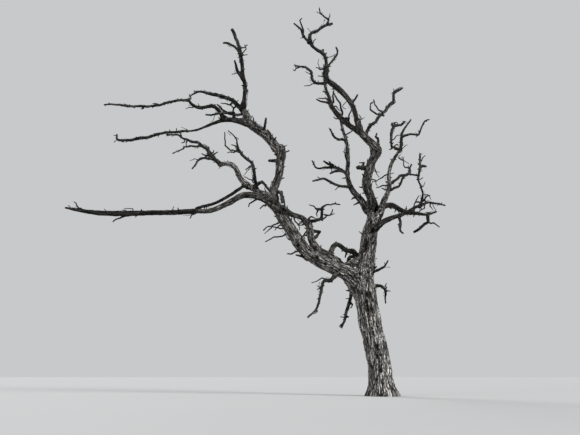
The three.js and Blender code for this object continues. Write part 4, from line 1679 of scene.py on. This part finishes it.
def stump_group():
    """Pegs of random sizes, strewn over a surface."""
    sizes = ("Spacing", "Density", "Least Length", "Most Length", "Least Radius", "Most Radius", "Painted Shade")
    sockets = {"Wood": "Material", **dict.fromkeys(sizes, "Float"), "Seed": "Int"}
    group, given, result = geometry_group("stumps", sockets)
    inputs = {"Mesh": given["Geometry"], "Distance Min": given["Spacing"], "Density Max": given["Density"],
              "Seed": given["Seed"]}
    strewn = put(group, "GeometryNodeDistributePointsOnFaces", inputs, distribute_method="POISSON")
    inputs = {"Min": (-PEG_STRAY,) * 3, "Max": (PEG_STRAY,) * 3, "Seed": given["Seed"]}
    lean = put(group, "FunctionNodeRandomValue", inputs, data_type="FLOAT_VECTOR").outputs["Value"]
    ahead = scaled_by(group, stored(group, "forward", "FLOAT_VECTOR"), PEG_LEAN)
    way = vector_node(group, "ADD", vector_node(group, "ADD", strewn.outputs["Normal"], ahead), lean)
    turn = put(group, "FunctionNodeAlignRotationToVector", {"Vector": way}, axis="Z").outputs[0]
    peg = put(group, "GeometryNodeMeshCone", PEG).outputs["Mesh"]
    inputs = {"Geometry": peg, "Translation": (0, 0, PEG_SUNK)}
    sunk = put(group, "GeometryNodeTransform", inputs).outputs[0]

    def between(least, most, seed):
        """A random number between two of the inputs."""
        inputs = {2: given[least], 3: given[most], "Seed": seed}
        return put(group, "FunctionNodeRandomValue", inputs, data_type="FLOAT").outputs[1]

    length = between("Least Length", "Most Length", LENGTH_SEED)
    width = between("Least Radius", "Most Radius", WIDTH_SEED)
    size = put(group, "ShaderNodeCombineXYZ", {"X": width, "Y": width, "Z": length}).outputs[0]
    inputs = {"Points": strewn.outputs["Points"], "Instance": sunk, "Rotation": turn, "Scale": size}
    pegs = put(group, "GeometryNodeInstanceOnPoints", inputs).outputs[0]
    real = put(group, "GeometryNodeRealizeInstances", {"Geometry": pegs}).outputs[0]
    here = put(group, "GeometryNodeInputPosition").outputs[0]
    inputs = {"Vector": here, "Scale": SWAY_SIZE, "Detail": 2.0}
    sway = put(group, "ShaderNodeTexNoise", inputs).outputs["Color"]
    bend = vector_node(group, "SUBTRACT", sway, (0.5, 0.5, 0.5))
    rough = moved(group, real, scaled_by(group, bend, given["Most Radius"]))
    kept = with_stored(group, rough, "grain", here, "FLOAT_VECTOR")
    # Painted shade, the same over all the stumps.
    toned = with_stored(group, kept, "dim", given["Painted Shade"])
    finished(group, shaded_smooth(group, toned), given["Wood"], result)
    return group


# %% Strew the stumps
STUMPS = stump_group()
# For each piece: the least space between two stumps, the most stumps to a square metre, the least and the
# most length, and the least and the most radius.
stump_sizes = {
    "branch_wood": (0.07, 80.0, 0.015, 0.048, 0.008, 0.014),
    "twig_wood": (0.05, 60.0, 0.010, 0.026, 0.005, 0.008),
    "side_branch_wood": (0.08, 50.0, 0.012, 0.035, 0.005, 0.007),
    "thick_branch_wood": (0.09, 32.0, 0.022, 0.070, 0.010, 0.018),
    "left_wood": (0.15, 10.0, 0.030, 0.090, 0.011, 0.022),
    "leader_wood": (0.15, 10.0, 0.030, 0.090, 0.011, 0.022),
}
stumps = []
for seed, (bearer, (spacing, density, short, long, slim, stout)) in enumerate(stump_sizes.items()):
    copy = bpy.data.objects[bearer].copy()
    copy.data = copy.data.copy()
    bpy.context.collection.objects.link(copy)
    sizes = {"Spacing": spacing, "Density": density, "Least Length": short, "Most Length": long,
             "Least Radius": slim, "Most Radius": stout}
    dress(copy, STUMPS, {**sizes, "Wood": DEAD_BRANCH, "Seed": seed, "Painted Shade": THIN_PAINTED_SHADE})
    stumps.append(baked(copy, "stumps"))
    print(len(stumps[-1].data.polygons), "faces of stumps on", bearer)
merged = bmesh.new()
for stump in stumps:
    merged.from_mesh(stump.data)
    bpy.data.objects.remove(stump)
stump_wood = bpy.data.objects.new("stump_wood", bpy.data.meshes.new("stump_wood"))
bpy.context.collection.objects.link(stump_wood)
merged.to_mesh(stump_wood.data)
merged.free()
stump_wood.data.materials.append(DEAD_BRANCH)
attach(stump_wood, "root")
